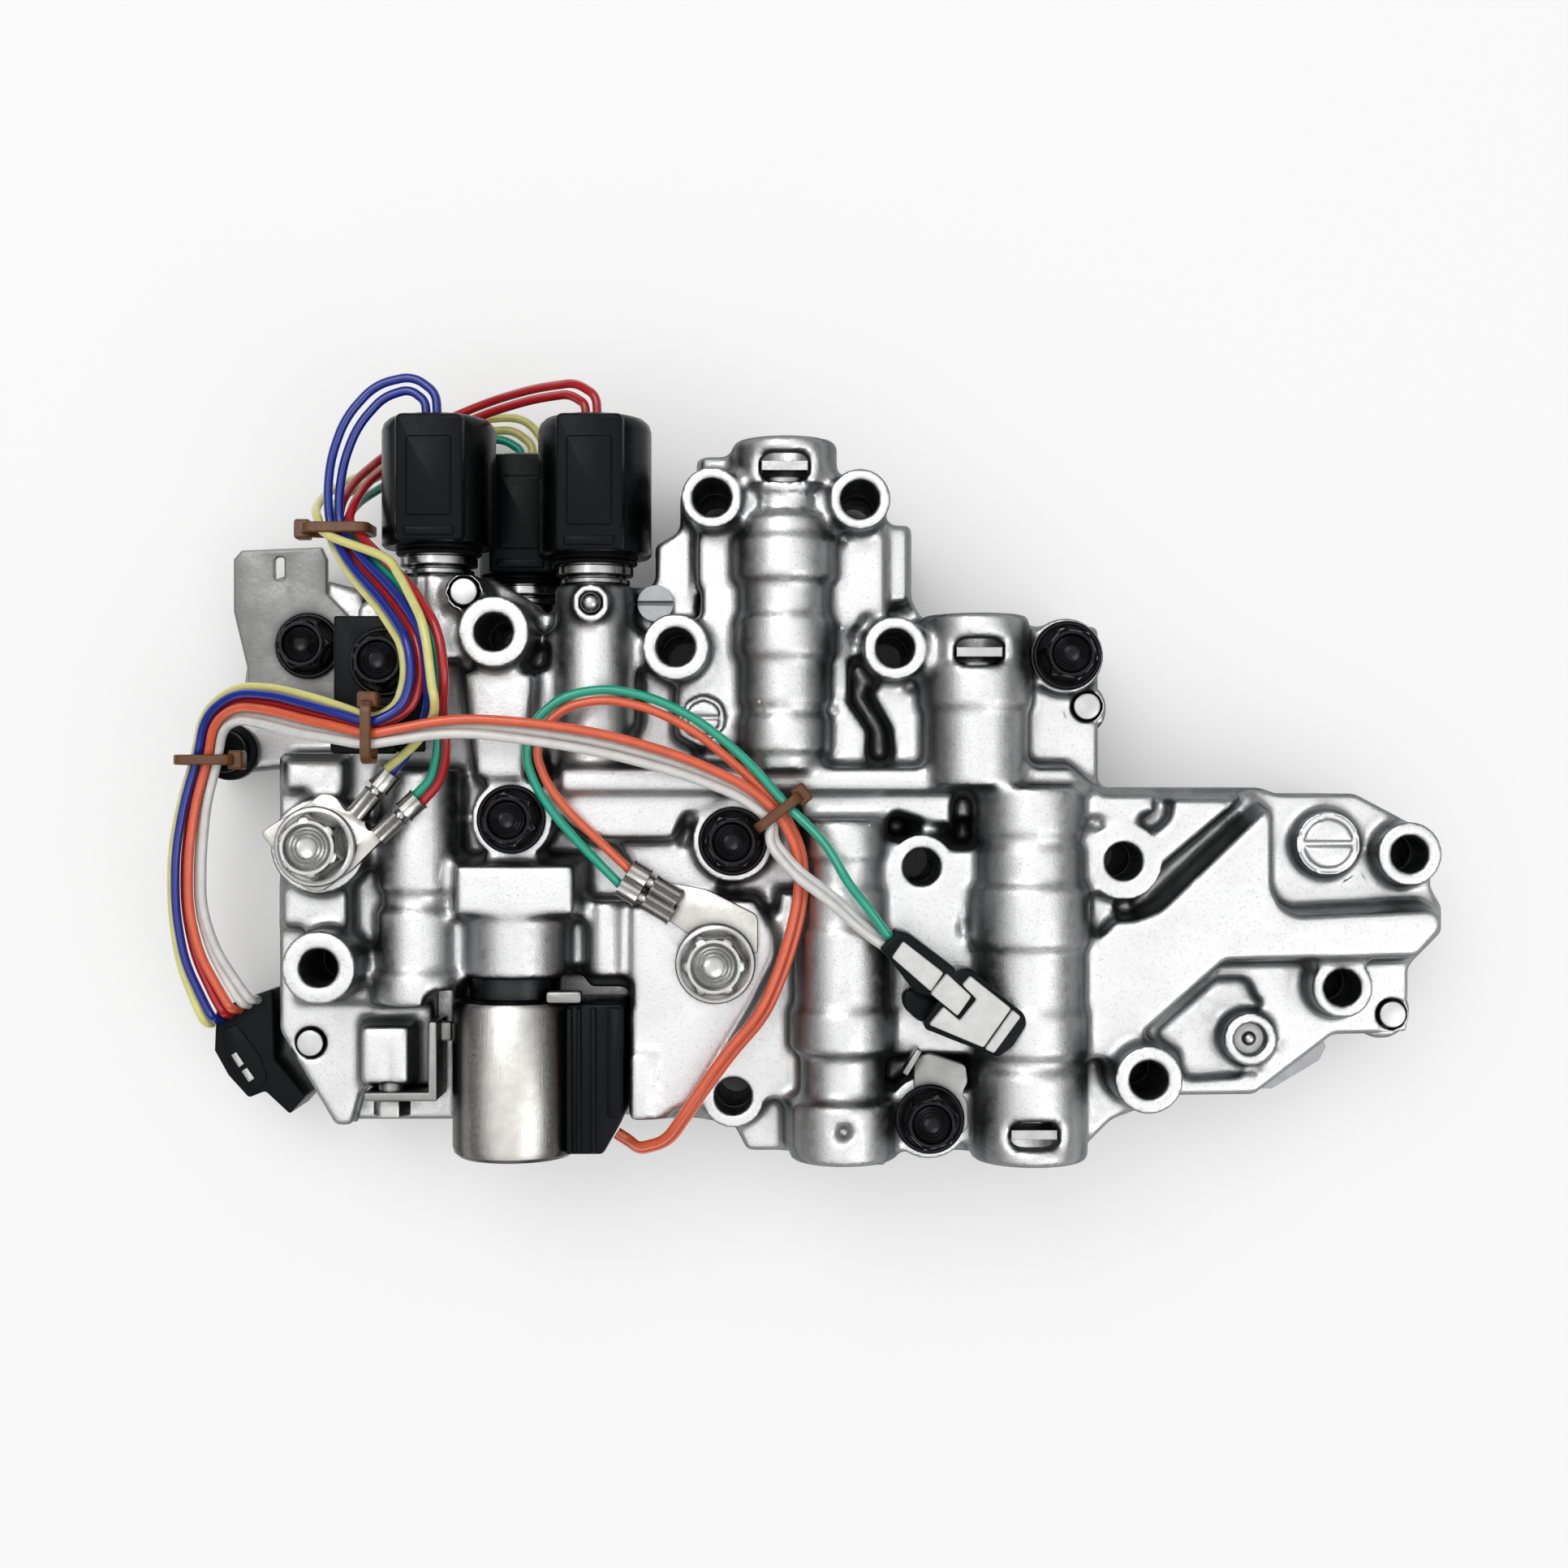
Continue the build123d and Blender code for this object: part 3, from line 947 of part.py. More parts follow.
# Wires, from each plug or solenoid to its terminal or connector
main_trunk = at_tie("second") + traced(to_third_tie) + at_tie("third") + traced(to_left_connector)
fan_trunk = at_tie("first") + traced(fan)
cross_trunk = at_tie("fourth") + traced(back_to_second_tie)
loop_start = Vector(*ties["fourth"][0]) + Vector(*ties["fourth"][1], 0) * (1.5 * lay)
loop_trunk = [(*loop_start, lay, 2 * lay)] + traced(loop)
low, high = -0.5, 0.5
yellow_b, blue_b, red_b = strands(fan_trunk + traced(to_second_tie), [(-2.5, low), (-1.5, high), (-0.5, low)])
blue_a, green_a, red_a = strands(fan_trunk + traced(to_twin_terminal), [(0.5, high), (1.5, low), (2.5, high)])
main = strands(main_trunk, [(-2.5, low), (-1.5, high), (-0.5, low), (0.5, high), (1.5, low), (2.5, high)])
for path in main:
    heading = (path[-1] - path[-2]).normalized()
    turn_down = path[-1] + Vector(heading.X, heading.Y, 0) * 3.4
    path.append(turn_down + Vector(0, 0, -0.5))
    path.append(Vector(path[-1].X + heading.X * 0.6, path[-1].Y + heading.Y * 0.6, left_connector_top))
plug_mouth = [(*seen([plug_mouth_px], plug_top)[0], 38.9, 0.45, 1.9)]
white_plug, white_other = strands(plug_mouth + traced(from_plug + pair_to_fourth_tie), [(1, low), (2, high)])
green_plug, = strands(plug_mouth + traced(from_plug + lead_to_fourth_tie), [(-2, high)])
chamfer = Vector(-53.45, -47.25, 24.5)
chamfer_out = Vector(0.845, -0.53, 0)
solenoid_run = [(*chamfer, lay, 1.85), (*(chamfer + chamfer_out * 2.6), lay, 1.85)] + traced(from_steel_solenoid)
orange_a, orange_b = strands(solenoid_run, [(0, high), (-1, low)])
orange_cross, white_cross, white_cross_2 = strands(cross_trunk, [(0, high), (1, low), (2, high)])
green_loop, orange_loop = strands(loop_trunk, [(-0.5, high), (0.5, low)])

_, first_crimp = crimp(*twin_barrels_px[0], plateau_z)
inner, second_crimp = crimp(*twin_barrels_px[1], plateau_z)
beside = Vector(-(second_crimp - inner).Y, (second_crimp - inner).X, 0).normalized() * (wire_radius + 0.05)
single_seat = fastener_seats["terminal_middle"][2]
_, upper_crimp = crimp(*single_barrels_px[0], single_seat)
_, lower_crimp = crimp(*single_barrels_px[1], single_seat)
first_run, = strands(traced(to_first_crimp), [(0, 0)])
second_run = strands(traced(to_second_crimp), [(-0.5, low), (0.5, high)])


def whole(*points):
    """Path of a wire from its pieces, as vectors."""
    return [Vector(*point) if isinstance(point, tuple) else point for point in points]


wires = {
    "yellow": [whole(*yellow_low, *yellow_b, *main[0])],
    "blue": [whole(*blue_outer, *blue_b, *main[1]), whole(*blue_inner, *blue_a, *first_run, first_crimp)],
    "red": [whole(*red_outer, *red_b, *main[2]), whole(*red_inner, *red_a, *second_run[1], second_crimp - beside)],
    "green": [whole(*green_low, *green_a, *second_run[0], second_crimp + beside),
              whole(*green_plug, *green_loop, lower_crimp)],
    "orange": [whole(*orange_a, *orange_cross, *main[3]), whole(*orange_b, *orange_loop, upper_crimp)],
    "white": [whole(*white_plug, *white_cross, *main[4]), whole(*white_other, *white_cross_2, *main[5])],
}
for colour, paths in wires.items():
    with BuildPart() as lead:
        for index, path in enumerate(paths):
            add(tube(path, colour, index))
    save(lead.part, f"wires_{colour}")

with BuildPart() as bands:
    for centre, across, half_lanes, slack in ties.values():
        bundle = (across[1], -across[0], 0)
        reach = half_lanes * lay + wire_radius + tie_gap
        rise = lay + wire_radius + slack
        with BuildSketch(Plane(centre, x_dir=(*across, 0), z_dir=bundle)) as ring:
            Rectangle(2 * (reach + tie_thickness), 2 * (rise + tie_thickness))
            Rectangle(2 * reach, 2 * rise, mode=Mode.SUBTRACT)
            with Locations((reach + tie_thickness + tie_head_offset, 0)):
                Rectangle(tie_head_width, tie_head_height)
        add(extrude(ring.sketch, amount=tie_width / 2, both=True, mode=Mode.PRIVATE))
save(bands.part, "cable_ties")

print(len(written), "pieces")
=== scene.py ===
import math

import bmesh
import bpy
import numpy as np
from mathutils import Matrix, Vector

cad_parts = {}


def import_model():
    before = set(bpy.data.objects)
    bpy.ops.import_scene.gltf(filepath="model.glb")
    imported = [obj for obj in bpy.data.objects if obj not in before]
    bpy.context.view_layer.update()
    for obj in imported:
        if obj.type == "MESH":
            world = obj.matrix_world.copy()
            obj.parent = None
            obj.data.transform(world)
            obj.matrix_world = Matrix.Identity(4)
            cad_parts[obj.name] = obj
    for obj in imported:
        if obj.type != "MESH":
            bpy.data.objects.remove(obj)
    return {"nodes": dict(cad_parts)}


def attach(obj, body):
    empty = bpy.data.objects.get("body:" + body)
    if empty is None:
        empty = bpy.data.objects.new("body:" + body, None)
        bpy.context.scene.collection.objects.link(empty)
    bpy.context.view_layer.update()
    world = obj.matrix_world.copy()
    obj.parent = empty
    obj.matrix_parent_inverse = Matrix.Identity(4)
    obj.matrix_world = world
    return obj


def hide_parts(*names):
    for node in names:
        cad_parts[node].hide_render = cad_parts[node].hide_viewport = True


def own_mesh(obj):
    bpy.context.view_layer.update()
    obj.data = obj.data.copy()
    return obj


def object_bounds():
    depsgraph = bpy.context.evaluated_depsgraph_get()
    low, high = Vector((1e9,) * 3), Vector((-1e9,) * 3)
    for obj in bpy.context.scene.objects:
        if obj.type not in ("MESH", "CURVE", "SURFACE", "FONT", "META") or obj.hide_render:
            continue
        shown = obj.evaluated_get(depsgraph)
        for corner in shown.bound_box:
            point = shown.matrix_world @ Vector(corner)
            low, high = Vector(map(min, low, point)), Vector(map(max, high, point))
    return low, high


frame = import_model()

import openvdb
from mathutils import Vector

cad_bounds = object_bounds()
nodes = frame["nodes"]
scene = bpy.context.scene
MM = 0.001
BODY = "valve_body"

# The photograph's camera: straight above, in millimetres of the frame
PHOTO_WIDTH = 1932
CAMERA_HEIGHT = 383.0
CAMERA_X = -23.93
CAMERA_Y = 14.41
PIXELS_TIMES_DEPTH = 2484.0
SENSOR = 36.0

# Levels of the castings, in millimetres
SPLIT_Z = 19.2
DECK_Z = 24.0
PLATEAU_Z = 33.0
SHOULDER_Z = 30.0
TALL_BOSS_Z = 38.0
BARREL_AXIS_Z = 31.0

# Bosses with a bolt hole, and the seats of the fasteners: x, y, top and radius
BOLT_HOLE_RADIUS = 3.15
BOLT_BOSSES = [
    (0.0, 0.0, PLATEAU_Z, 5.6), (-103.7, -17.1, TALL_BOSS_Z, 6.3), (-73.7, 40.5, TALL_BOSS_Z, 6.1),
    (-42.5, 37.9, TALL_BOSS_Z, 5.7), (-36.3, 63.5, TALL_BOSS_Z, 5.2), (-10.9, 63.2, TALL_BOSS_Z, 5.2),
    (-4.9, 37.7, TALL_BOSS_Z, 5.4), (-32.9, -40.6, 28.0, 5.5), (38.6, -36.3, TALL_BOSS_Z, 5.8),
    (35.1, 1.0, PLATEAU_Z, 6.7), (85.9, 2.1, 29.5, 5.6), (73.7, -21.2, 31.0, 5.3),
]
FASTENER_SEATS = {
    "left_recess": (-71.2, 8.3, PLATEAU_Z, 7.0), "middle_recess": (-32.8, 4.5, PLATEAU_Z, 7.0),
    "sensor_seat": (1.2, -43.4, PLATEAU_Z, 7.2), "shoulder_seat": (25.4, 36.8, SHOULDER_Z, 6.6),
    "hidden_seat": (-93.0, 35.5, PLATEAU_Z, 6.4), "terminal_left": (-104.9, 3.6, PLATEAU_Z, 8.2),
    "terminal_middle": (-35.9, -16.9, SHOULDER_Z, 8.2),
}

# Pins, marks and plugs set into the upper casting: x, y, then top and radius where they have a boss
DOWEL_RADIUS = 2.35
DOWEL_ROOM = 0.3
DOWELS = [(-79.2, 47.6), (29.4, 28.1), (84.4, -26.6), (-108.3, -31.7)]
MARKS = [(-38.0, 26.0, 31.0, 4.4), (72.1, 3.9, 28.0, 5.8)]
MARK_DEPTH = 0.9
MARK_RIM = 0.6
MARK_DISC_INSET = 1.5
MARK_DISC_ROOT = 1.0
MARK_DISC_DROP = 0.2
MARK_LINE_INSET = 1.2
MARK_LINE_HALF = 0.35
MARK_LINE_DEPTH = 0.8
PORT = (-57.4, 45.8, 34.2, 3.3)
PORT_RADIUS = 1.9
PORT_FLOOR = 32.0
ORIFICE = (58.5, -30.7, 27.0, 4.7)
ORIFICE_RADIUS = 2.8
SLOTTED_SCREW = (-46.7, 46.4)
SLOTTED_RADIUS = 2.05

# Sheet metal, its lowest bolt (x, y and seat) and the washer of the shoulder bolt
SHEET = 1.6
WASHER = 1.2
BRACKET_BOLT = (-111.0, 39.7, 13.6)

# Each valve's bore: x, radius, open end and closed end
BORES = {
    "pressure": (-23.8, 5.5, 74.0, 20.0),
    "clutch": (9.5, 5.0, 43.7, 17.0),
    "ratio": (18.8, 5.5, -51.0, 8.5),
    "manual": (-13.7, 5.0, -51.0, 4.5),
}

# Cast surfaces: the grid they are rounded on, the radii of hollow and outer edges, and machined edges
VOXEL = 0.45
BAND = 5
FOOT_RADIUS = 1.2
EDGE_RADIUS = 0.8
THIN_WALL = 0.35
CRISP_DEPTH = 1.2
HOLE_CHAMFER = 0.35
CHAMFER_DEPTH = 0.3
UPPER_TRIANGLES = 190000
LOWER_TRIANGLES = 90000

# Oil and shade in narrow and in wide hollows: reach in cells, lift off the surface, least share and band
CREASES = (5, 1.0, 0.38, 0.40)
VALLEYS = (12, 2.5, 0.59, 0.24)

# Deep valley between two pads: its middle line, half its width, how many halves its shade spans, the
# level that it darkens below, over so many millimetres, and how dark it gets
DEEP_VALLEY = [(-11.2, 31.2), (-8.4, 27.6), (-7.1, 23.6), (-7.0, 18.4)]
DEEP_VALLEY_HALF = 2.7
DEEP_VALLEY_SPAN = 1.7
DEEP_VALLEY_TOP = 30.0
DEEP_VALLEY_FALL = 3
DEEP_VALLEY_SHADE = 0.9

# Bolts: flange radius and width across the flats, and how far down their shanks reach
BLACK_BOLT = (6.0, 8.6)
SILVER_BOLT = (7.0, 10.2)
SHANK_FOOT = 10.0
BRACKET_SHANK_FOOT = 2.0

# Bolt head above the flange: share of half the width across the flats, height above the seat, and the
# share of that width which the six flats leave of the ring, or 0 for a round ring
BOLT_HEAD = [
    (1.17, 1.3, 0), (1.17, 1.2, 1.0), (1.17, 1.8, 1.0), (1.17, 5.7, 0.94), (1.02, 6.3, 0.93),
    (0.91, 6.6, 0), (0.80, 6.6, 0), (0.74, 6.2, 0), (0.68, 5.95, 0), (0.62, 6.1, 0), (0.56, 5.9, 0),
    (0.49, 6.1, 0), (0.43, 5.9, 0), (0.36, 6.1, 0), (0.30, 5.9, 0), (0.10, 5.75, 0),
]

# Points round one ring of each kind of piece
BOLT_SIDES = 96
CAN_SIDES = 96
TURNED_SIDES = 72
CRIMP_SIDES = 28
WIRE_SIDES = 14

# Rounded edges of the small pieces: the angle that counts as an edge, and the arc's steps
EDGE_ANGLE = math.radians(40)
EDGE_STEPS = 3

# Painted shade darkens the corners of the small metal pieces within this reach
CORNER_REACH = 1.6

# Edges between faces that meet at a larger angle than this stay crisp
CRISP_ANGLE = math.radians(32)

# Wires, half the distance between two of them in the bundle, and the seam of their crimps
WIRE_RADIUS = 0.8
HALF_LANE = 0.925
CRIMP_RISE = 2.2
SEAM_ANGLE = 0.28

# Crimped barrels of a terminal: start and end as shares of its length, radius and depth of the seam
CRIMPS = [(0.0, 0.52, 1.75, 0.4), (0.5, 0.66, 1.2, 0.0), (0.64, 1.0, 2.0, 0.25)]

# Cable ties: room beside the wires, half the band's thickness, and the sections of the band and the head
TIE_ROOM = 1.5
TIE_HALF_BAND = 0.55
TIE_CORNER = 1.6
TIE_BAND = ((-0.9, -0.3), (-0.7, -0.5), (0.7, -0.5), (0.9, -0.3), (0.9, 0.3), (0.7, 0.5), (-0.7, 0.5),
            (-0.9, 0.3))
TIE_HEAD = ((-1, -0.8), (-0.8, -1), (0.8, -1), (1, -0.8), (1, 0.8), (0.8, 1), (-0.8, 1), (-1, 0.8))

# Levels of the connectors' upright pieces
CONTACT_FOOT = 16.6
CONTACT_TOP = 17.6
LATCH_TOP = 17.3
HOUSING_FOOT = 34.5
FACE_DEPTH = 2.4

# Round solenoids: letter, x and z of the axis, seat, top, radius and length of the nose
ROUND_SOLENOIDS = [
    ("a", -85.0, 26.0, 51.2, 78.9, 10.0, 9.0), ("b", -57.4, 26.0, 49.5, 78.9, 10.0, 9.0),
    ("c", -71.6, 9.3, 47.5, 74.8, 8.6, 3.4),
]

# Their necks' height over the seat, and half the width of the moulded flat
NECK_RISE = 4.8
MOULD_HALF = 5.9

# Steel can: its axis and radius
CAN_X = -71.5
CAN_Z = 26.0
CAN_RADIUS = 11.0

# Floor and light: place, size and power of the lamps, and the sky's level near the horizon and overhead
FLOOR_TONE = (0.96, 0.96, 0.96, 1)
FLOOR_HALF = 3.0
FLOOR_GAP = 0.0005
FLOOR_GLOW = 0.6
SHADOW_REACH = 0.04
LAMP_SIZE = 0.6
KEY_PLACE = (-0.30, 0.50, 0.9)
KEY_POWER = 2.7
FILL_PLACE = (0.60, -0.40, 0.8)
FILL_POWER = 1.7
HORIZON_HEIGHT = 0.25
HORIZON_LEVEL = 0.12
ZENITH_LEVEL = 1.0


def row(px, py, z):
    """Where the photograph's pixel lies on the level z, in millimetres."""
    scale = PIXELS_TIMES_DEPTH / (CAMERA_HEIGHT - z)
    return (px - PHOTO_WIDTH / 2) / scale + CAMERA_X, (PHOTO_WIDTH / 2 - py) / scale + CAMERA_Y, z


def placed(name, data):
    """A new object in the scene."""
    obj = bpy.data.objects.new(name, data)
    scene.collection.objects.link(obj)
    return obj


def mesh_object(name, points, faces):
    """A mesh in the scene, its points in metres."""
    mesh = bpy.data.meshes.new(name)
    mesh.from_pydata(points, [], faces)
    mesh.update()
    return placed(name, mesh)


# Materials

def new_material(name):
    """A material, its node tree and its shader, joined to the output."""
    material = bpy.data.materials.new(name)
    material.use_nodes = True
    tree = material.node_tree
    tree.nodes.clear()
    output = tree.nodes.new("ShaderNodeOutputMaterial")
    shader = tree.nodes.new("ShaderNodeBsdfPrincipled")
    tree.links.new(shader.outputs[0], output.inputs["Surface"])
    return material, tree, shader


def noise(tree, scale, detail=4.0, roughness=0.55, stretch=None):
    """Noise over the object's own millimetres, drawn out along the axes where stretch says so."""
    place = tree.nodes.new("ShaderNodeTexCoord")
    mapping = tree.nodes.new("ShaderNodeMapping")
    factor = 1 / MM
    mapping.inputs["Scale"].default_value = [factor * s for s in (stretch or (1, 1, 1))]
    texture = tree.nodes.new("ShaderNodeTexNoise")
    texture.inputs["Scale"].default_value = scale
    texture.inputs["Detail"].default_value = detail
    texture.inputs["Roughness"].default_value = roughness
    tree.links.new(place.outputs["Object"], mapping.inputs["Vector"])
    tree.links.new(mapping.outputs[0], texture.inputs["Vector"])
    return texture.outputs["Fac"]


def spread(tree, value, low, high, from_low=0.3, from_high=0.7):
    """The value's range turned into another range."""
    ranged = tree.nodes.new("ShaderNodeMapRange")
    ranged.inputs["From Min"].default_value = from_low
    ranged.inputs["From Max"].default_value = from_high
    ranged.inputs["To Min"].default_value = low
    ranged.inputs["To Max"].default_value = high
    tree.links.new(value, ranged.inputs["Value"])
    return ranged.outputs["Result"]


def blend_colour(tree, factor, first, second):
    """A mix of two colours, either of which may be a link."""
    mix = tree.nodes.new("ShaderNodeMix")
    mix.data_type = "RGBA"
    tree.links.new(factor, mix.inputs["Factor"])
    for socket, colour in ((mix.inputs[6], first), (mix.inputs[7], second)):
        if isinstance(colour, tuple):
            socket.default_value = (*colour, 1.0)
        else:
            tree.links.new(colour, socket)
    return mix.outputs[2]


def bump(tree, shader, height, distance, strength=1.0, normal=None):
    """Fine relief of that many millimetres on the shader's surface."""
    relief = tree.nodes.new("ShaderNodeBump")
    relief.inputs["Strength"].default_value = strength
    relief.inputs["Distance"].default_value = distance * MM
    tree.links.new(height, relief.inputs["Height"])
    if normal:
        tree.links.new(normal, relief.inputs["Normal"])
    tree.links.new(relief.outputs[0], shader.inputs["Normal"])


def soft_edge(tree, radius):
    """Normals that round an edge by the radius."""
    edge = tree.nodes.new("ShaderNodeBevel")
    edge.inputs["Radius"].default_value = radius * MM
    edge.samples = 2
    return edge.outputs[0]


def facing_up(tree, least, most):
    """How far the surface faces up, from 0 at the least share of the vertical to 1 at the most."""
    geometry = tree.nodes.new("ShaderNodeNewGeometry")
    split = tree.nodes.new("ShaderNodeSeparateXYZ")
    tree.links.new(geometry.outputs["Normal"], split.inputs[0])
    return spread(tree, split.outputs["Z"], 0.0, 1.0, least, most)


def cast_aluminium(name, top, painted_wall_shade, hollow, roughness, grain):
    """Die cast aluminium: tumbled tops painted pale and upright drafts painted dark for light from overhead,
    hollows darkened by oil and painted shade, and a fine grain.
    """
    material, tree, shader = new_material(name)
    # Painted light and shade: faces that look up take the lit top colour, upright drafts the shaded one.
    painted_light_by_facing = facing_up(tree, 0.56, 0.99)
    tone = blend_colour(tree, painted_light_by_facing, painted_wall_shade, top)
    stain = spread(tree, noise(tree, 0.09, 5.0, 0.6), 0.0, 0.3, 0.45, 0.75)
    tone = blend_colour(tree, stain, tone, tuple(0.66 * c for c in top))
    speckle = spread(tree, noise(tree, 2.2, 2.0, 0.7), 0.0, 0.4, 0.56, 0.74)
    tone = blend_colour(tree, speckle, tone, tuple(0.3 * c for c in top))
    # Painted shade, with some oil: hollows and creases, measured from the casting's shape, darken towards
    # the hollow colour.
    oil_and_painted_shade = tree.nodes.new("ShaderNodeAttribute")
    oil_and_painted_shade.attribute_name = "oil_and_painted_shade"
    depth = spread(tree, oil_and_painted_shade.outputs["Fac"], 0.0, 0.95, 0.0, 1.0)
    tone = blend_colour(tree, depth, tone, hollow)
    tree.links.new(tone, shader.inputs["Base Color"])
    shader.inputs["Metallic"].default_value = 1.0
    tree.links.new(spread(tree, noise(tree, 0.6, 3.0), roughness - 0.06, roughness + 0.1),
                   shader.inputs["Roughness"])
    bump(tree, shader, noise(tree, grain, 3.0, 0.6), 0.07, 0.6)
    return material


def plain_metal(name, colour, roughness, grain=1.2, depth=0.03, stretch=None, edge=0.25, side=0.16,
                steep=0.4):
    """Machined, drawn or stamped metal: a faint grain, corners darkened as painted shade, and upright sides
    painted in a share of its colour: painted shade below 1, a painted highlight above 1."""
    material, tree, shader = new_material(name)
    wear = spread(tree, noise(tree, 0.35, 4.0), 0.0, 1.0)
    tone = blend_colour(tree, wear, tuple(0.82 * c for c in colour), colour)
    # Painted light and shade: upright sides take the side share of the colour, painted shade below 1 and a
    # painted highlight above 1.
    painted_light_by_facing = facing_up(tree, steep, 0.97)
    tone = blend_colour(tree, painted_light_by_facing, tuple(side * c for c in colour), tone)
    # Painted shade: corners closed in within the corner reach darken towards 0.12 of the colour.
    corner = tree.nodes.new("ShaderNodeAmbientOcclusion")
    corner.samples = 2
    corner.inputs["Distance"].default_value = CORNER_REACH * MM
    open_share = spread(tree, corner.outputs["AO"], 0.0, 1.0, 0.35, 0.9)
    tone = blend_colour(tree, open_share, tuple(0.12 * c for c in colour), tone)
    tree.links.new(tone, shader.inputs["Base Color"])
    shader.inputs["Metallic"].default_value = 1.0
    tree.links.new(spread(tree, noise(tree, 1.4, 3.0), roughness - 0.05, roughness + 0.08),
                   shader.inputs["Roughness"])
    bump(tree, shader, noise(tree, grain, 3.0, 0.6, stretch), depth, 0.6, soft_edge(tree, edge))
    return material


def plastic(name, colour, roughness, shine=0.5, grain=0.9, depth=0.03, edge=0.3):
    """Moulded plastic with a faint mottle."""
    material, tree, shader = new_material(name)
    mottle = spread(tree, noise(tree, 0.5, 4.0), 0.0, 1.0)
    tree.links.new(blend_colour(tree, mottle, tuple(0.85 * c for c in colour), colour),
                   shader.inputs["Base Color"])
    tree.links.new(spread(tree, noise(tree, 1.1, 3.0), roughness - 0.05, roughness + 0.07),
                   shader.inputs["Roughness"])
    shader.inputs["Specular IOR Level"].default_value = shine
    bump(tree, shader, noise(tree, grain, 3.0), depth, 0.5, soft_edge(tree, edge))
    return material


def black_oxide(name):
    """Oiled black bolts."""
    material, tree, shader = new_material(name)
    wear = spread(tree, noise(tree, 0.7, 5.0, 0.65), 0.0, 1.0, 0.6, 0.85)
    tree.links.new(blend_colour(tree, wear, (0.025, 0.025, 0.027), (0.09, 0.09, 0.093)),
                   shader.inputs["Base Color"])
    shader.inputs["Metallic"].default_value = 1.0
    tree.links.new(spread(tree, noise(tree, 1.6, 3.0), 0.14, 0.26), shader.inputs["Roughness"])
    bump(tree, shader, noise(tree, 1.3, 4.0), 0.012, 0.5, soft_edge(tree, 0.15))
    return material


def insulation(name, colour):
    """Glossy wire insulation."""
    material, tree, shader = new_material(name)
    shade = spread(tree, noise(tree, 0.4, 3.0), 0.0, 1.0)
    tree.links.new(blend_colour(tree, shade, tuple(0.86 * c for c in colour), colour),
                   shader.inputs["Base Color"])
    shader.inputs["Roughness"].default_value = 0.24
    shader.inputs["Coat Weight"].default_value = 0.6
    shader.inputs["Coat Roughness"].default_value = 0.06
    bump(tree, shader, noise(tree, 0.8, 2.0), 0.03, 0.4)
    return material


def nylon(name, colour):
    """Translucent brown nylon."""
    material, tree, shader = new_material(name)
    shade = spread(tree, noise(tree, 0.5, 3.0), 0.0, 1.0)
    tree.links.new(blend_colour(tree, shade, tuple(0.7 * c for c in colour), colour),
                   shader.inputs["Base Color"])
    shader.inputs["Roughness"].default_value = 0.3
    shader.inputs["Subsurface Weight"].default_value = 0.3
    shader.inputs["Subsurface Radius"].default_value = (0.002, 0.001, 0.0004)
    bump(tree, shader, noise(tree, 0.9, 3.0), 0.04, 0.5, soft_edge(tree, 0.3))
    return material


# Colours of painted light and shade: a lit top, shaded upright drafts, and hollows dark with oil and painted
# shade.
aluminium = cast_aluminium("cast_aluminium", top=(0.88, 0.88, 0.885), painted_wall_shade=(0.13, 0.133, 0.138),
                           hollow=(0.04, 0.04, 0.042), roughness=0.4, grain=2.6)
# Plain metals paint their upright sides at 0.16 of their colour as painted shade, unless side gives another
# share; the bracket's 0.5 is painted shade too.
finishes = {
    "machined": plain_metal("machined_aluminium", (0.78, 0.78, 0.785), 0.34, 1.6, 0.008),
    "plate": plain_metal("separator_steel", (0.42, 0.43, 0.44), 0.38),
    "bracket": plain_metal("bracket_steel", (0.42, 0.42, 0.415), 0.38, 1.5, 0.04, side=0.5),
    # Painted highlight: the side bracket's upright faces are painted 2.4 times as bright as its colour.
    "side_bracket": plain_metal("side_bracket_steel", (0.27, 0.27, 0.268), 0.4, 1.1, 0.07, side=2.4,
                                steep=0.7),
    "zinc": plain_metal("zinc_steel", (0.74, 0.74, 0.72), 0.25),
    "tin": plain_metal("tinned_brass", (0.80, 0.79, 0.74), 0.24),
    "steel": plain_metal("bright_steel", (0.72, 0.72, 0.72), 0.18),
    # Painted shade: the can's flanks are painted near black, at 0.03 of its colour.
    "can": plain_metal("drawn_can", (0.86, 0.84, 0.79), 0.3, 1.0, 0.05, stretch=(3, 0.2, 3), side=0.03,
                       steep=0.62),
    "shell": plain_metal("dark_shell", (0.05, 0.053, 0.056), 0.3),
    "black_bolt": black_oxide("black_oxide"),
    "black_plastic": plastic("black_plastic", (0.005, 0.006, 0.007), 0.32, shine=0.12),
    "rubber": plastic("seal_rubber", (0.004, 0.004, 0.004), 0.45, shine=0.2),
    "grey_plastic": plastic("grey_plastic", (0.80, 0.80, 0.79), 0.4),
    "tie": nylon("brown_nylon", (0.17, 0.062, 0.016)),
    "yellow": insulation("yellow_insulation", (0.84, 0.80, 0.28)),
    "blue": insulation("blue_insulation", (0.006, 0.026, 0.30)),
    "red": insulation("red_insulation", (0.50, 0.012, 0.018)),
    "green": insulation("green_insulation", (0.01, 0.42, 0.27)),
    "orange": insulation("orange_insulation", (0.85, 0.14, 0.055)),
    "white": insulation("white_insulation", (0.80, 0.79, 0.76)),
}

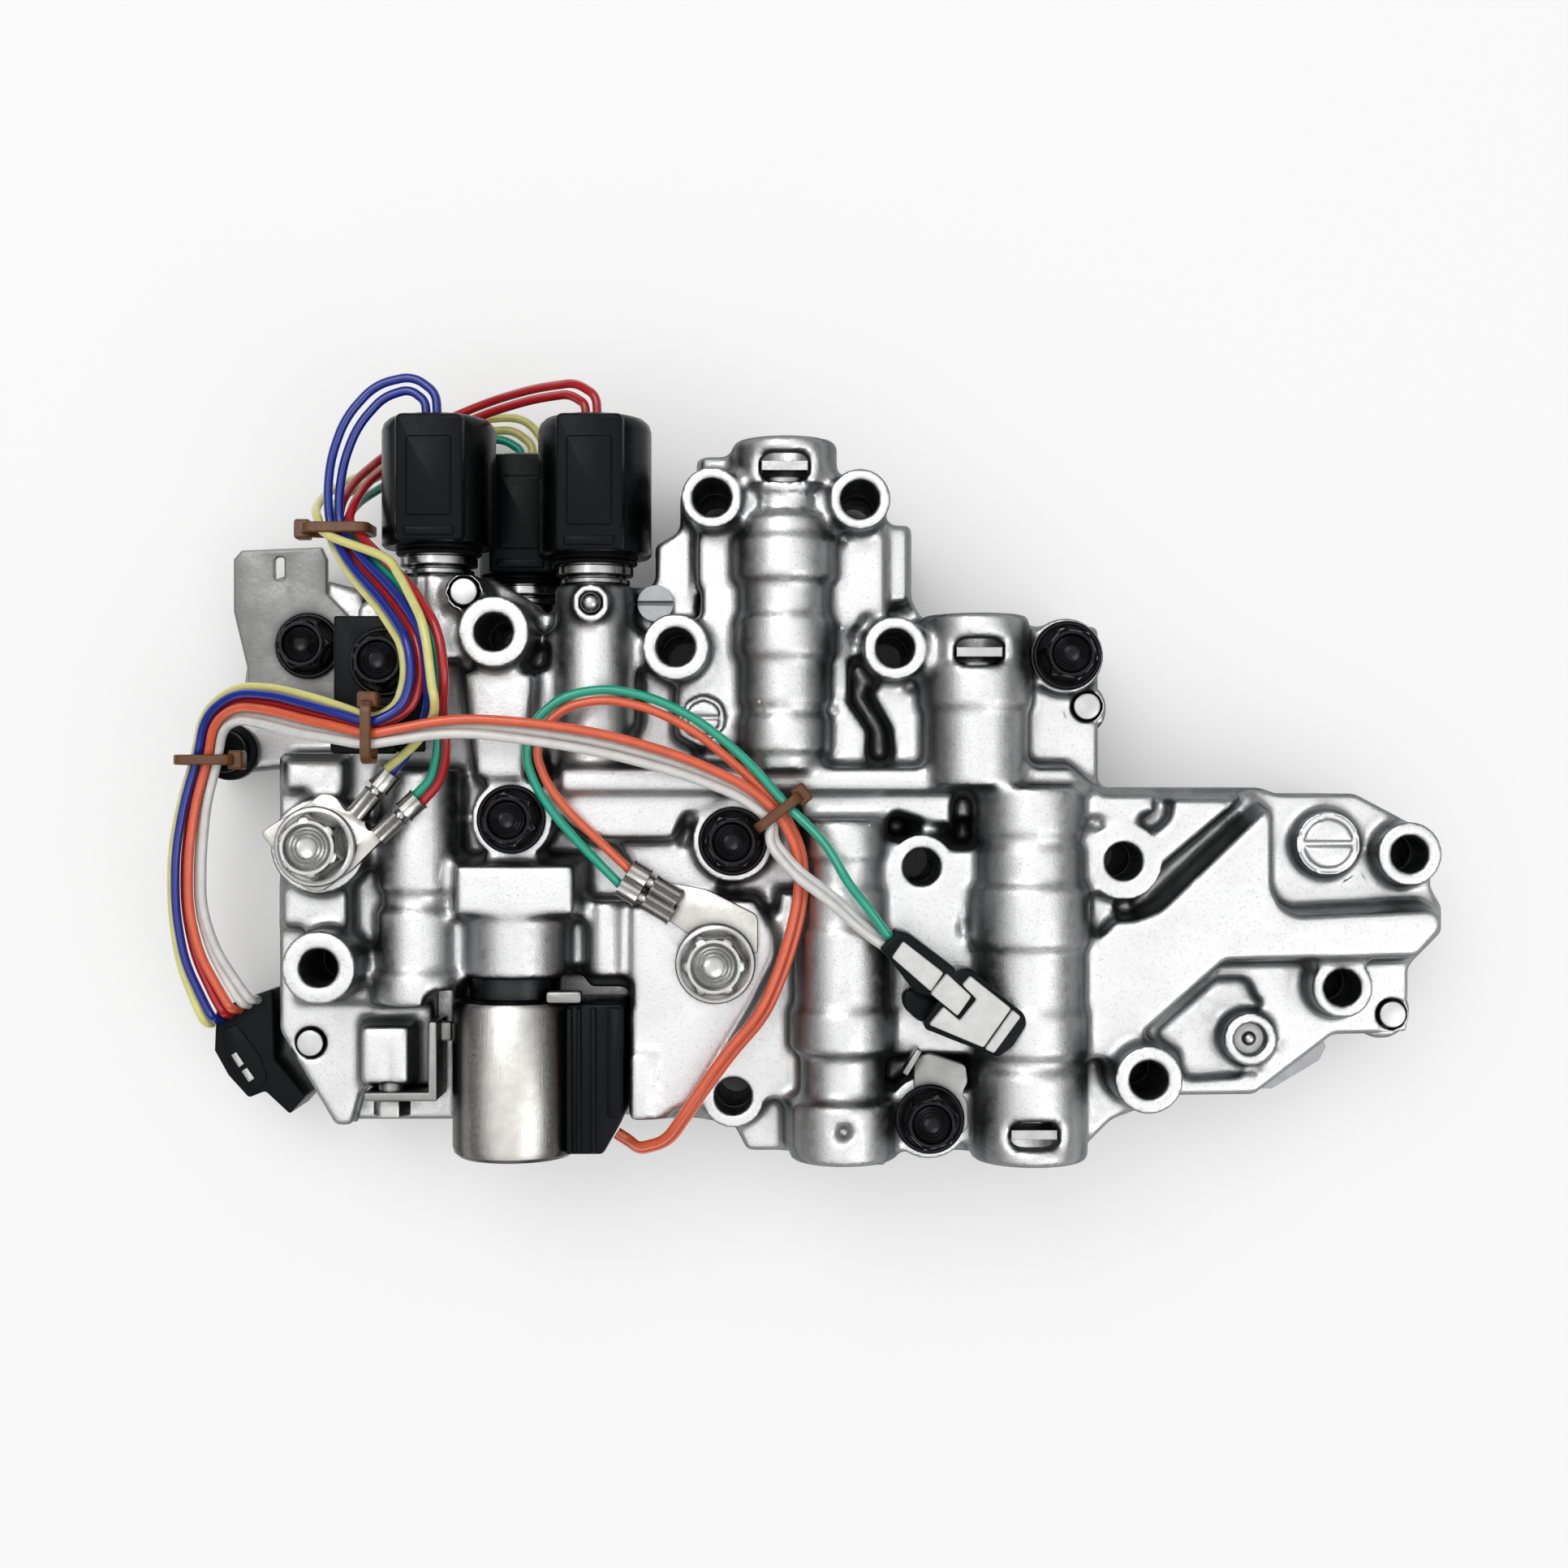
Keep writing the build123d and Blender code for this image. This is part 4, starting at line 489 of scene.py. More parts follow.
node_finish = {
    "upper_casting": aluminium, "lower_casting": aluminium,
    "separator_plate": finishes["plate"], "side_bracket": finishes["side_bracket"],
    "clamp_bracket": finishes["bracket"], "clamp_screw": finishes["zinc"],
    "sensor_plate": finishes["black_plastic"], "sensor_bracket": finishes["bracket"],
    "sensor_block": finishes["black_plastic"], "black_flange_bolts": finishes["black_bolt"],
    "silver_flange_bolts": finishes["zinc"], "shoulder_washer": finishes["zinc"],
    "underside_bolts": finishes["black_bolt"], "dowel_pins": finishes["machined"],
    "check_ball": finishes["steel"], "orifice_plug": finishes["steel"],
    "slotted_screw": finishes["plate"], "bore_plugs": finishes["machined"],
    "retainer_plates": finishes["steel"], "plug_pin": finishes["steel"],
    "solenoid_d_can": finishes["can"], "solenoid_d_nose": finishes["shell"],
    "solenoid_d_connector": finishes["black_plastic"], "left_connector": finishes["black_plastic"],
    "pressure_switch": finishes["black_plastic"], "harness_plug": finishes["grey_plastic"],
    "plug_latch": finishes["grey_plastic"], "sensor_socket": finishes["grey_plastic"],
    "twin_terminal": finishes["tin"], "single_terminal": finishes["tin"],
    "cable_ties": finishes["tie"],
}
for letter in "abc":
    node_finish[f"solenoid_{letter}_nose"] = finishes["machined"]
    node_finish[f"solenoid_{letter}_shell"] = finishes["shell"]
    node_finish[f"solenoid_{letter}_coil"] = finishes["black_plastic"]
for colour in ("yellow", "blue", "red", "green", "orange", "white"):
    node_finish[f"wires_{colour}"] = finishes[colour]
for valve in BORES:
    node_finish[f"{valve}_spool"] = finishes["machined"]
    node_finish[f"{valve}_spring"] = finishes["steel"]

for name, obj in nodes.items():
    obj.data.materials.clear()
    obj.data.materials.append(node_finish[name])


# Cast surfaces

def level_set(points, triangles, quads, band):
    """Signed distances around a closed mesh, in millimetres."""
    transform = openvdb.createLinearTransform(voxelSize=VOXEL)
    return openvdb.FloatGrid.createLevelSetFromPolygons(
        points, triangles=triangles, quads=quads, transform=transform, halfWidth=band)


def offset(points, triangles, quads, distance):
    """The closed mesh moved outward by the distance."""
    grid = level_set(points, triangles, quads, abs(distance) / VOXEL + 2)
    return grid.convertToPolygons(isovalue=distance, adaptivity=0.0)


def vertex_values(mesh, name):
    """One vector for each corner of the mesh."""
    values = np.empty(len(mesh.vertices) * 3, np.float32)
    mesh.vertices.foreach_get(name, values)
    return values.reshape(-1, 3)


def mesh_arrays(obj):
    """The corners of a mesh in millimetres, and its triangles."""
    mesh = obj.data
    mesh.calc_loop_triangles()
    triangles = np.empty(len(mesh.loop_triangles) * 3, np.int32)
    mesh.loop_triangles.foreach_get("vertices", triangles)
    return vertex_values(mesh, "co") / MM, triangles.reshape(-1, 3).astype(np.uint32)


class Block:
    """Signed distances on a full grid, which shapes are cut from or added to."""

    def __init__(self, points, triangles, quads, like=None):
        grid = level_set(points, triangles, quads, BAND)
        low, high = grid.evalActiveVoxelBoundingBox()
        self.low = like.low if like else low
        shape = like.field.shape if like else [b - a + 1 for a, b in zip(low, high)]
        self.field = np.zeros(shape, np.float32)
        grid.copyToArray(self.field, ijk=self.low)

    def window(self, low, high):
        """The grid's cells in a box, and the places of their corners."""
        starts = [max(0, int(math.floor(a / VOXEL)) - o) for a, o in zip(low, self.low)]
        ends = [min(n, int(math.ceil(b / VOXEL)) - o + 1)
                for b, o, n in zip(high, self.low, self.field.shape)]
        cells = tuple(slice(a, b) for a, b in zip(starts, ends))
        axes = [(np.arange(a, b) + o) * VOXEL for a, b, o in zip(starts, ends, self.low)]
        return cells, np.meshgrid(*axes, indexing="ij")

    def apply(self, cells, solid, cut):
        """Cuts a shape, given by its signed distances, from the block or joins it to it."""
        part = self.field[cells]
        solid = solid.astype(np.float32)
        self.field[cells] = np.maximum(part, -solid) if cut else np.minimum(part, solid)

    def cylinder(self, centre, axis, radius, start, end, cut=True):
        """Cuts or adds a cylinder along an axis of the frame, from start to end."""
        others = [a for a in range(3) if a != axis]
        low = list(centre)
        high = list(centre)
        for a in others:
            low[a] -= radius + 1
            high[a] += radius + 1
        low[axis] = min(start, end) - 1
        high[axis] = max(start, end) + 1
        cells, place = self.window(low, high)
        away = np.hypot(place[others[0]] - centre[others[0]], place[others[1]] - centre[others[1]])
        ends = np.abs(place[axis] - (start + end) / 2) - abs(end - start) / 2
        self.apply(cells, np.maximum(away - radius, ends), cut)

    def cuboid(self, low, high):
        """Cuts a box between two corners."""
        cells, place = self.window([a - 1 for a in low], [b + 1 for b in high])
        sides = [np.abs(place[a] - (low[a] + high[a]) / 2) - (high[a] - low[a]) / 2 for a in range(3)]
        self.apply(cells, np.maximum(np.maximum(sides[0], sides[1]), sides[2]), True)

    def crowding(self, points, normals, reach, lift, least, band):
        """For each point, how much of a cube just outside it is solid, from 0 at least to 1."""
        solid = (self.field < 0).astype(np.float32)
        for axis, size in enumerate(solid.shape):
            widths = [(0, 0)] * 3
            widths[axis] = (reach + 1, reach)
            total = np.cumsum(np.pad(solid, widths), axis=axis, dtype=np.float64)
            upper = np.take(total, range(2 * reach + 1, size + 2 * reach + 1), axis=axis)
            solid = ((upper - np.take(total, range(size), axis=axis)) / (2 * reach + 1)).astype(np.float32)
        index = np.rint((points + normals * lift) / VOXEL).astype(int) - np.array(self.low)
        index = np.clip(index, 0, np.array(solid.shape) - 1)
        return np.clip((solid[index[:, 0], index[:, 1], index[:, 2]] - least) / band, 0, 1)

    def surface(self):
        """The block's surface: corners, triangles and quads."""
        grid = openvdb.FloatGrid()
        grid.copyFromArray(self.field, ijk=self.low, tolerance=0.0)
        grid.transform = openvdb.createLinearTransform(voxelSize=VOXEL)
        return grid.convertToPolygons(isovalue=0.0, adaptivity=0.0)


def valley_depth(places):
    """For each point, how deep it lies in the deep valley, from 0 to 1."""
    away = np.full(len(places), np.inf)
    for first, last in zip(DEEP_VALLEY, DEEP_VALLEY[1:]):
        along = np.subtract(last, first)
        offsets = places[:, :2] - first
        share = np.clip(offsets @ along / (along @ along), 0, 1)
        away = np.minimum(away, np.linalg.norm(offsets - share[:, None] * along, axis=1))
    inside = np.clip(DEEP_VALLEY_SPAN - away / DEEP_VALLEY_HALF, 0, 1)
    return inside * np.clip((DEEP_VALLEY_TOP - places[:, 2]) / DEEP_VALLEY_FALL, 0, 1)


def thinned(obj, triangles):
    """The same surface on at most that many triangles."""
    now = sum(len(p.vertices) - 2 for p in obj.data.polygons)
    if now > triangles:
        fewer = obj.modifiers.new("fewer", "DECIMATE")
        fewer.ratio = triangles / now
        fewer.use_collapse_triangulate = True
        evaluated = obj.evaluated_get(bpy.context.evaluated_depsgraph_get())
        old = obj.data
        obj.data = bpy.data.meshes.new_from_object(evaluated)
        obj.modifiers.clear()
        bpy.data.meshes.remove(old)
    obj.data.shade_smooth()
    return obj


def cast_skin(node, name, triangles, finish):
    """The casting with filleted feet and rounded edges; finish machines it true again."""
    points, faces = mesh_arrays(nodes[node])
    quads = np.empty((0, 4), np.uint32)
    true_shape = Block(points, faces, quads)
    points, faces, quads = offset(points, faces, quads, FOOT_RADIUS)
    points, faces, quads = offset(points, faces, quads, -(FOOT_RADIUS + EDGE_RADIUS))
    points, faces, quads = offset(points, faces, quads, EDGE_RADIUS)
    block = Block(points, faces, quads, true_shape)
    block.field = np.minimum(block.field, true_shape.field + THIN_WALL)
    finish(block)
    points, faces, quads = block.surface()
    corners = [tuple(int(i) for i in f) for f in faces] + [tuple(int(i) for i in f) for f in quads]
    obj = thinned(mesh_object(name, points * MM, corners), triangles)
    mesh = obj.data
    places = vertex_values(mesh, "co") / MM
    normals = vertex_values(mesh, "normal")
    # Oil and painted shade: creases, valleys and the deep valley darken the cast colour by how closed in
    # each point lies.
    oil_and_painted_shade = block.crowding(places, normals, *CREASES)
    oil_and_painted_shade = np.maximum(oil_and_painted_shade, block.crowding(places, normals, *VALLEYS))
    oil_and_painted_shade = np.maximum(oil_and_painted_shade, DEEP_VALLEY_SHADE * valley_depth(places))
    mesh.attributes.new("oil_and_painted_shade", "FLOAT", "POINT").data.foreach_set("value", oil_and_painted_shade)
    mesh.materials.append(aluminium)
    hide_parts(node)
    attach(obj, BODY)


def machined_top(block, x, y, top, radius, hole):
    """A flat, sharp boss face with a chamfered hole."""
    block.cylinder((x, y, 0), 2, radius, top - CRISP_DEPTH, top, cut=False)
    block.cylinder((x, y, 0), 2, hole, SPLIT_Z - 1, top + 1)
    block.cylinder((x, y, 0), 2, hole + HOLE_CHAMFER, top - CHAMFER_DEPTH, top + 1)


def finish_upper(block):
    """Machined boss faces, holes and valve bores of the upper casting, and its two round marks."""
    for x, y, top, radius in BOLT_BOSSES + list(FASTENER_SEATS.values()):
        machined_top(block, x, y, top, radius, BOLT_HOLE_RADIUS)
    for x, radius, open_y, closed_y in BORES.values():
        block.cylinder((x, 0, BARREL_AXIS_Z), 1, radius, open_y + math.copysign(1, open_y), closed_y)
    for x, y, top, radius in MARKS:
        block.cylinder((x, y, 0), 2, radius - MARK_RIM, top - MARK_DEPTH, top + 1)
        block.cylinder((x, y, 0), 2, radius - MARK_DISC_INSET, top - MARK_DISC_ROOT, top - MARK_DISC_DROP,
                       cut=False)
        block.cuboid((x - radius + MARK_LINE_INSET, y - MARK_LINE_HALF, top - MARK_LINE_DEPTH),
                     (x + radius - MARK_LINE_INSET, y + MARK_LINE_HALF, top + 1))
    x, y, top, radius = PORT
    block.cylinder((x, y, 0), 2, radius, top - CRISP_DEPTH, top, cut=False)
    block.cylinder((x, y, 0), 2, PORT_RADIUS, PORT_FLOOR, top + 1)
    x, y, top, radius = ORIFICE
    block.cylinder((x, y, 0), 2, radius, top - CRISP_DEPTH, top, cut=False)
    block.cylinder((x, y, 0), 2, ORIFICE_RADIUS, DECK_Z, top + 1)
    for x, y in DOWELS:
        block.cylinder((x, y, 0), 2, DOWEL_RADIUS + DOWEL_ROOM, SPLIT_Z - 1, PLATEAU_Z + 5)
    block.cylinder((*SLOTTED_SCREW, 0), 2, SLOTTED_RADIUS, DECK_Z - 3, DECK_Z + 3)


def finish_lower(block):
    """Bolt holes of the lower casting."""
    for x, y, _, _ in BOLT_BOSSES:
        block.cylinder((x, y, 0), 2, BOLT_HOLE_RADIUS, -1, SPLIT_Z)
    block.cylinder((*BRACKET_BOLT[:2], 0), 2, BOLT_HOLE_RADIUS, 1, DECK_Z)


cast_skin("upper_casting", "upper_casting_skin", UPPER_TRIANGLES, finish_upper)
cast_skin("lower_casting", "lower_casting_skin", LOWER_TRIANGLES, finish_lower)


# Brackets, bolts, ties, terminals and plugs

def shaped(name, rings_of_parts, finish, slot, *replaced):
    """One mesh of several closed stacks of rings; a ring is a list of points in millimetres."""
    points = []
    faces = []
    for rings in rings_of_parts:
        count = len(rings[0])
        first = len(points)
        for ring in rings:
            points.extend(ring)
        for level in range(len(rings) - 1):
            low = first + level * count
            high = low + count
            for i in range(count):
                j = (i + 1) % count
                faces.append((low + i, low + j, high + j, high + i))
        faces.append(tuple(range(first + count - 1, first - 1, -1)))
        last = first + (len(rings) - 1) * count
        faces.append(tuple(range(last, last + count)))
    obj = mesh_object(name, [tuple(c * MM for c in point) for point in points], faces)
    obj.data.shade_smooth()
    obj.data.set_sharp_from_angle(angle=CRISP_ANGLE)
    obj.data.materials.append(finish)
    if replaced:
        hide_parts(*replaced)
    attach(obj, BODY)


def hexagon_radius(angle, across, turn):
    """Distance from the middle of a hexagon to its side."""
    from_flat = (angle - turn + math.pi / 6) % (math.pi / 3) - math.pi / 6
    return across / 2 / math.cos(from_flat)


def bolt_rings(x, y, seat, flange, across, foot, turn):
    """Hexagon flange bolt: shank, thin rim, sloping flange, chamfered hexagon and a dished top."""
    half = across / 2
    profile = [(2.7, foot, 0), (3.0, foot + 0.4, 0), (3.0, seat, 0), (flange - 0.25, seat, 0),
               (flange, seat + 0.25, 0), (flange, seat + 0.8, 0), (flange - 0.25, seat + 1.0, 0),
               (flange - 0.55, seat + 1.0, 0)]
    profile += [(half * share, seat + rise, hexed) for share, rise, hexed in BOLT_HEAD]
    rings = []
    for radius, z, hexed in profile:
        ring = []
        for i in range(BOLT_SIDES):
            angle = math.tau * i / BOLT_SIDES
            here = min(radius, hexagon_radius(angle, hexed * across, turn)) if hexed else radius
            ring.append((x + here * math.cos(angle), y + here * math.sin(angle), z))
        rings.append(ring)
    return rings


black = []
for name, lift, turn in (("left_recess", 0, 0.2), ("middle_recess", 0, 0.5), ("hidden_seat", SHEET, 0.1),
                         ("shoulder_seat", WASHER, 0.35), ("sensor_seat", SHEET, 0.8)):
    x, y, seat, _ = FASTENER_SEATS[name]
    black.append(bolt_rings(x, y, seat + lift, *BLACK_BOLT, SHANK_FOOT, turn))
black.append(bolt_rings(*BRACKET_BOLT, *BLACK_BOLT, BRACKET_SHANK_FOOT, 0.6))
shaped("black_bolts", black, finishes["black_bolt"], "black_steel", "black_flange_bolts")
silver = []
for name, turn in (("terminal_left", 0.15), ("terminal_middle", 0.55)):
    x, y, seat, _ = FASTENER_SEATS[name]
    silver.append(bolt_rings(x, y, seat + SHEET, *SILVER_BOLT, SHANK_FOOT, turn))
shaped("silver_bolts", silver, finishes["zinc"], "bright_steel", "silver_flange_bolts")


def bevelled(node, width):
    """The same piece with its sharp edges rounded."""
    form = bmesh.new()
    form.from_mesh(nodes[node].data)
    bmesh.ops.remove_doubles(form, verts=form.verts, dist=0.002 * MM)
    bmesh.ops.dissolve_limit(form, angle_limit=math.radians(1), verts=form.verts, edges=form.edges)
    sharp = [edge for edge in form.edges
             if len(edge.link_faces) == 2 and edge.calc_face_angle() > EDGE_ANGLE]
    bmesh.ops.bevel(form, geom=sharp, offset=width * MM, offset_type="OFFSET", segments=EDGE_STEPS,
                    profile=0.5, affect="EDGES", clamp_overlap=False)
    bmesh.ops.triangulate(form, faces=form.faces)
    mesh = bpy.data.meshes.new(f"{node}_rounded")
    form.to_mesh(mesh)
    form.free()
    mesh.shade_smooth()
    mesh.set_sharp_from_angle(angle=CRISP_ANGLE)
    mesh.materials.append(node_finish[node])
    obj = placed(f"{node}_rounded", mesh)
    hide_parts(node)
    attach(obj, BODY)


for node, width, slot in (("side_bracket", 0.5, "bracket_steel"), ("sensor_plate", 0.4, "connector_black"),
                          ("sensor_block", 0.5, "connector_black"),
                          ("left_connector", 0.5, "connector_black"),
                          ("pressure_switch", 0.5, "connector_black"),
                          ("clamp_bracket", 0.4, "bracket_steel"), ("clamp_screw", 0.3, "bright_steel"),
                          ("dowel_pins", 0.25, "bright_steel")):
    bevelled(node, width)


def rounded(outline, radius, steps=4):
    """The outline with each corner turned into an arc."""
    corners = [Vector(p) for p in outline]
    result = []
    for before, here, after in zip(corners[-1:] + corners[:-1], corners, corners[1:] + corners[:1]):
        reach = min(radius, 0.45 * (before - here).length, 0.45 * (after - here).length)
        start = here + (before - here).normalized() * reach
        end = here + (after - here).normalized() * reach
        for i in range(steps + 1):
            t = i / steps
            result.append(start * (1 - t) ** 2 + here * (2 * t * (1 - t)) + end * t ** 2)
    return result


def inset(outline, distance):
    """The outline, given anticlockwise, moved inward."""
    result = []
    for before, here, after in zip(outline[-1:] + outline[:-1], outline, outline[1:] + outline[:1]):
        along = (after - before).normalized()
        result.append(here + Vector((-along.y, along.x)) * distance)
    return result


def slab(outline, low, high, corner, edge):
    """Rings of an upright piece with round corners and a bevelled top edge."""
    signed_area = sum(a[0] * b[1] - b[0] * a[1] for a, b in zip(outline, outline[1:] + outline[:1]))
    around = rounded(outline if signed_area > 0 else outline[::-1], corner)
    levels = [(edge * 0.5, low), (0.0, low + edge * 0.5), (0.0, high - edge),
              (edge * 0.3, high - edge * 0.3), (edge, high)]
    return [[(p.x, p.y, z) for p in inset(around, inward)] for inward, z in levels]


def seen(outline, z):
    """An outline traced on the photograph, at a level."""
    return [row(px, py, z)[:2] for px, py in outline]


def crimp_rings(start, end, radius, seam_depth):
    """Rolled barrel with a seam along its top and a flared mouth."""
    along = (end - start).normalized()
    side = Vector((-along.y, along.x, 0)).normalized()
    up = along.cross(side)
    if up.z < 0:
        up = -up
    rings = []
    for share, scale in ((0.0, 0.8), (0.0, 1.08), (0.14, 1.0), (0.86, 1.0), (1.0, 1.08), (1.0, 0.8)):
        centre = start + (end - start) * share
        ring = []
        for i in range(CRIMP_SIDES):
            angle = math.tau * i / CRIMP_SIDES
            seam = math.exp(-((angle - math.pi / 2) / SEAM_ANGLE) ** 2)
            here = radius * scale * (1 - seam_depth * seam)
            ring.append(centre + side * (here * math.cos(angle)) + up * (here * math.sin(angle)))
        rings.append([tuple(p) for p in ring])
    return rings


def terminal(name, node, outline, barrels, seat):
    """Ring terminal: its sheet and the crimped barrels, each rolled round the wire and its insulation."""
    rings = [slab(seen(outline, seat + SHEET), seat, seat + SHEET, 1.0, 0.3)]
    for first, last in barrels:
        z = seat + CRIMP_RISE
        inner = Vector(row(*first, z))
        outer = Vector(row(*last, z))
        for start, end, radius, seam_depth in CRIMPS:
            rings.append(crimp_rings(inner.lerp(outer, start), inner.lerp(outer, end), radius, seam_depth))
    shaped(name, rings, finishes["tin"], "brass", node)


def tie_rings(centre, across, half_lanes, slack):
    """Band round the bundle, and its ratchet head."""
    centre = Vector(centre)
    side = Vector((*across, 0)).normalized()
    along = Vector((side.y, -side.x, 0))
    up = Vector((0, 0, 1))
    reach = half_lanes * HALF_LANE + TIE_ROOM + TIE_HALF_BAND
    rise = HALF_LANE + WIRE_RADIUS + slack + TIE_HALF_BAND
    loop = rounded([(-reach, -rise), (reach, -rise), (reach, rise), (-reach, rise)], TIE_CORNER, 6)
    tube = []
    for before, here, after in zip(loop[-1:] + loop[:-1], loop, loop[1:] + loop[:1]):
        heading = (after - before).normalized()
        outward = Vector((heading.y, -heading.x))
        ring = []
        for u, v in TIE_BAND:
            p = here + outward * v
            ring.append(tuple(centre + side * p.x + up * p.y + along * u))
        tube.append(ring)
    tube.append(tube[0])
    head = []
    for x, half in ((reach - 0.6, 1.5), (reach - 0.4, 1.7), (reach + 1.7, 1.7), (reach + 2.0, 1.4)):
        middle = centre + side * x
        head.append([tuple(middle + along * (half * a) + up * (half * b)) for a, b in TIE_HEAD])
    return [tube, head]


# Each tie: centre, direction across the bundle, width in half lanes and slack above the wires
TIES = [
    ((-102.0, 59.0, 29.5), (-1.0, 0.0), 3.8, 1.9), ((-93.7, 23.1, 44.2), (0.0, 1.0), 3.0, 0.6),
    ((-126.8, 18.7, 24.0), (1.0, 0.0), 3.0, 0.7), ((-24.9, 9.55, 38.0), (0.79, 0.61), 2.5, 0.45),
]
shaped("ties", [rings for tie in TIES for rings in tie_rings(*tie)], finishes["tie"], "tie_brown",
       "cable_ties")

terminal("left_terminal", "twin_terminal",
         [(380, 990), (396, 977), (414, 981), (428, 1002), (446, 984), (458, 996), (448, 1014), (456, 1026),
          (474, 1008), (484, 1020), (463, 1043), (433, 1073), (394, 1100), (373, 1094), (320, 1026),
          (338, 1014)],
         [((438, 1004), (482, 952)), ((466, 1030), (516, 984))], PLATEAU_Z)
terminal("middle_terminal", "single_terminal",
         [(818, 1086), (872, 1096), (934, 1128), (934, 1176), (872, 1168), (806, 1122)],
         [((836, 1108), (776, 1072)), ((828, 1128), (764, 1090))], SHOULDER_Z)

stand = [slab(seen([(1126, 1304), (1146, 1298), (1190, 1312), (1193, 1334), (1186, 1346), (1192, 1358),
                    (1193, 1388), (1186, 1398), (1172, 1398), (1126, 1362)], PLATEAU_Z + SHEET), PLATEAU_Z,
              PLATEAU_Z + SHEET, 0.8, 0.3),
         slab(seen([(1112, 1322), (1118, 1326), (1136, 1296), (1130, 1292)], 38.0), 33.4, 38.0, 0.2, 0.2)]
shaped("sensor_stand", stand, finishes["bracket"], "bracket_steel", "sensor_bracket")
contacts = [slab(seen(outline, CONTACT_TOP), CONTACT_FOOT, CONTACT_TOP, 0.2, 0.2)
            for outline in ([(284, 1300), (291, 1296), (301, 1311), (294, 1316)],
                            [(297, 1320), (304, 1315), (314, 1329), (306, 1334)])]
shaped("left_contacts", contacts, finishes["zinc"], "bright_steel")
latch = slab(seen([(272, 1268), (292, 1262), (320, 1300), (330, 1330), (316, 1346), (300, 1340),
                   (278, 1304)], LATCH_TOP), CONTACT_FOOT, LATCH_TOP, 1.0, 0.3)
shaped("left_latch", [latch], finishes["black_plastic"], "connector_black")

black_plug = slab(seen([(1083, 1169), (1100, 1154), (1104, 1146), (1120, 1150), (1179, 1195), (1152, 1230),
                        (1128, 1224), (1097, 1183)], 42), HOUSING_FOOT, 42.0, 0.8, 0.4)
black_socket = slab(seen([(1170, 1200), (1179, 1195), (1187, 1193), (1197, 1195), (1263, 1250),
                          (1265, 1264), (1248, 1290), (1230, 1303), (1180, 1284), (1140, 1268),
                          (1138, 1260), (1156, 1232)], 42), HOUSING_FOOT, 42.1, 0.8, 0.4)
lever = slab(seen([(1112, 1222), (1128, 1216), (1148, 1224), (1160, 1246), (1148, 1262), (1130, 1258),
                   (1112, 1240)], 38), HOUSING_FOOT, 38.5, 2.0, 0.8)
shaped("plug_body", [black_plug, lever], finishes["black_plastic"], "connector_black")
shaped("socket_body", [black_socket], finishes["black_plastic"], "connector_black")
grey_faces = {
    "harness_plug": ([[(1113, 1160), (1163, 1199), (1147, 1222), (1099, 1180)]], 43.0),
    "plug_latch": ([[(1167, 1200), (1197, 1228), (1180, 1252), (1147, 1225)]], 44.0),
    "sensor_socket": ([[(1186, 1214), (1196, 1203), (1246, 1243), (1212, 1291), (1145, 1263), (1163, 1241),
                        (1183, 1258), (1204, 1232)],
                       [(1248, 1245), (1258, 1253), (1225, 1298), (1214, 1293)]], 43.5),
}
for node, (outlines, top) in grey_faces.items():
    rings = [slab(seen(outline, top), top - FACE_DEPTH, top, 0.4, 0.25) for outline in outlines]
    shaped(f"{node}_face", rings, finishes["grey_plastic"], "connector_grey", node)


# Solenoids

def turned(x, z, profile, sides=TURNED_SIDES):
    """Rings round an axis along Y; the profile is (radius, y) from one end to the other."""
    return [[(x + r * math.cos(math.tau * i / sides), y, z + r * math.sin(math.tau * i / sides))
             for i in range(sides)] for r, y in profile]


def oblong(x, half, low, high):
    """An upright oblong's outline, on both sides of x."""
    return [(x - half, low), (x + half, low), (x + half, high), (x - half, high)]


def round_solenoid(letter, x, z, seat, top, radius, nose):
    """Black solenoid along Y: round case, moulded flat with raised frames, turned nose and seal ring."""
    neck = seat + NECK_RISE
    case = [(0.5, neck), (radius - 0.5, neck), (radius, neck + 0.5), (radius, top - 2.4),
            (radius - 0.35, top - 1.2), (radius - 1.2, top - 0.35), (radius - 2.4, top), (0.5, top)]
    shaped(f"case_{letter}", [turned(x, z, case)], finishes["shell"], "can_steel",
           f"solenoid_{letter}_shell")
    front = z + radius + 1.1
    mould = [slab(oblong(x, MOULD_HALF, neck + 0.3, top - 0.6), z + 3, front - 0.3, 1.4, 0.8),
             slab(oblong(x, 3.9, neck + 4.6, top - 4.6), z + 4, front, 0.6, 0.4),
             slab(oblong(x, 4.3, neck + 1.2, neck + 2.8), z + 4, front, 0.4, 0.3)]
    shaped(f"mould_{letter}", mould, finishes["black_plastic"], "coil_plastic", f"solenoid_{letter}_coil")
    rings = [(4.0, seat - nose), (5.0, seat - nose + 0.8), (5.0, seat), (6.1, seat), (6.2, seat + 0.15),
             (6.2, seat + 0.8), (5.5, seat + 1.0), (5.5, seat + 1.3), (6.6, seat + 1.5), (6.8, seat + 1.7),
             (6.8, seat + 3.0), (6.5, seat + 3.2), (6.5, neck + 0.2)]
    shaped(f"nose_{letter}", [turned(x, z, rings)], finishes["steel"], "can_steel",
           f"solenoid_{letter}_nose")
    seal = [(6.6, seat + 3.4), (7.3, seat + 3.5), (7.6, seat + 3.9), (7.3, seat + 4.3), (6.9, seat + 4.4),
            (7.6, seat + 4.5), (7.6, neck + 0.1), (6.6, neck + 0.1)]
    shaped(f"seal_{letter}", [turned(x, z, seal)], finishes["rubber"], "coil_plastic")


for solenoid in ROUND_SOLENOIDS:
    round_solenoid(*solenoid)

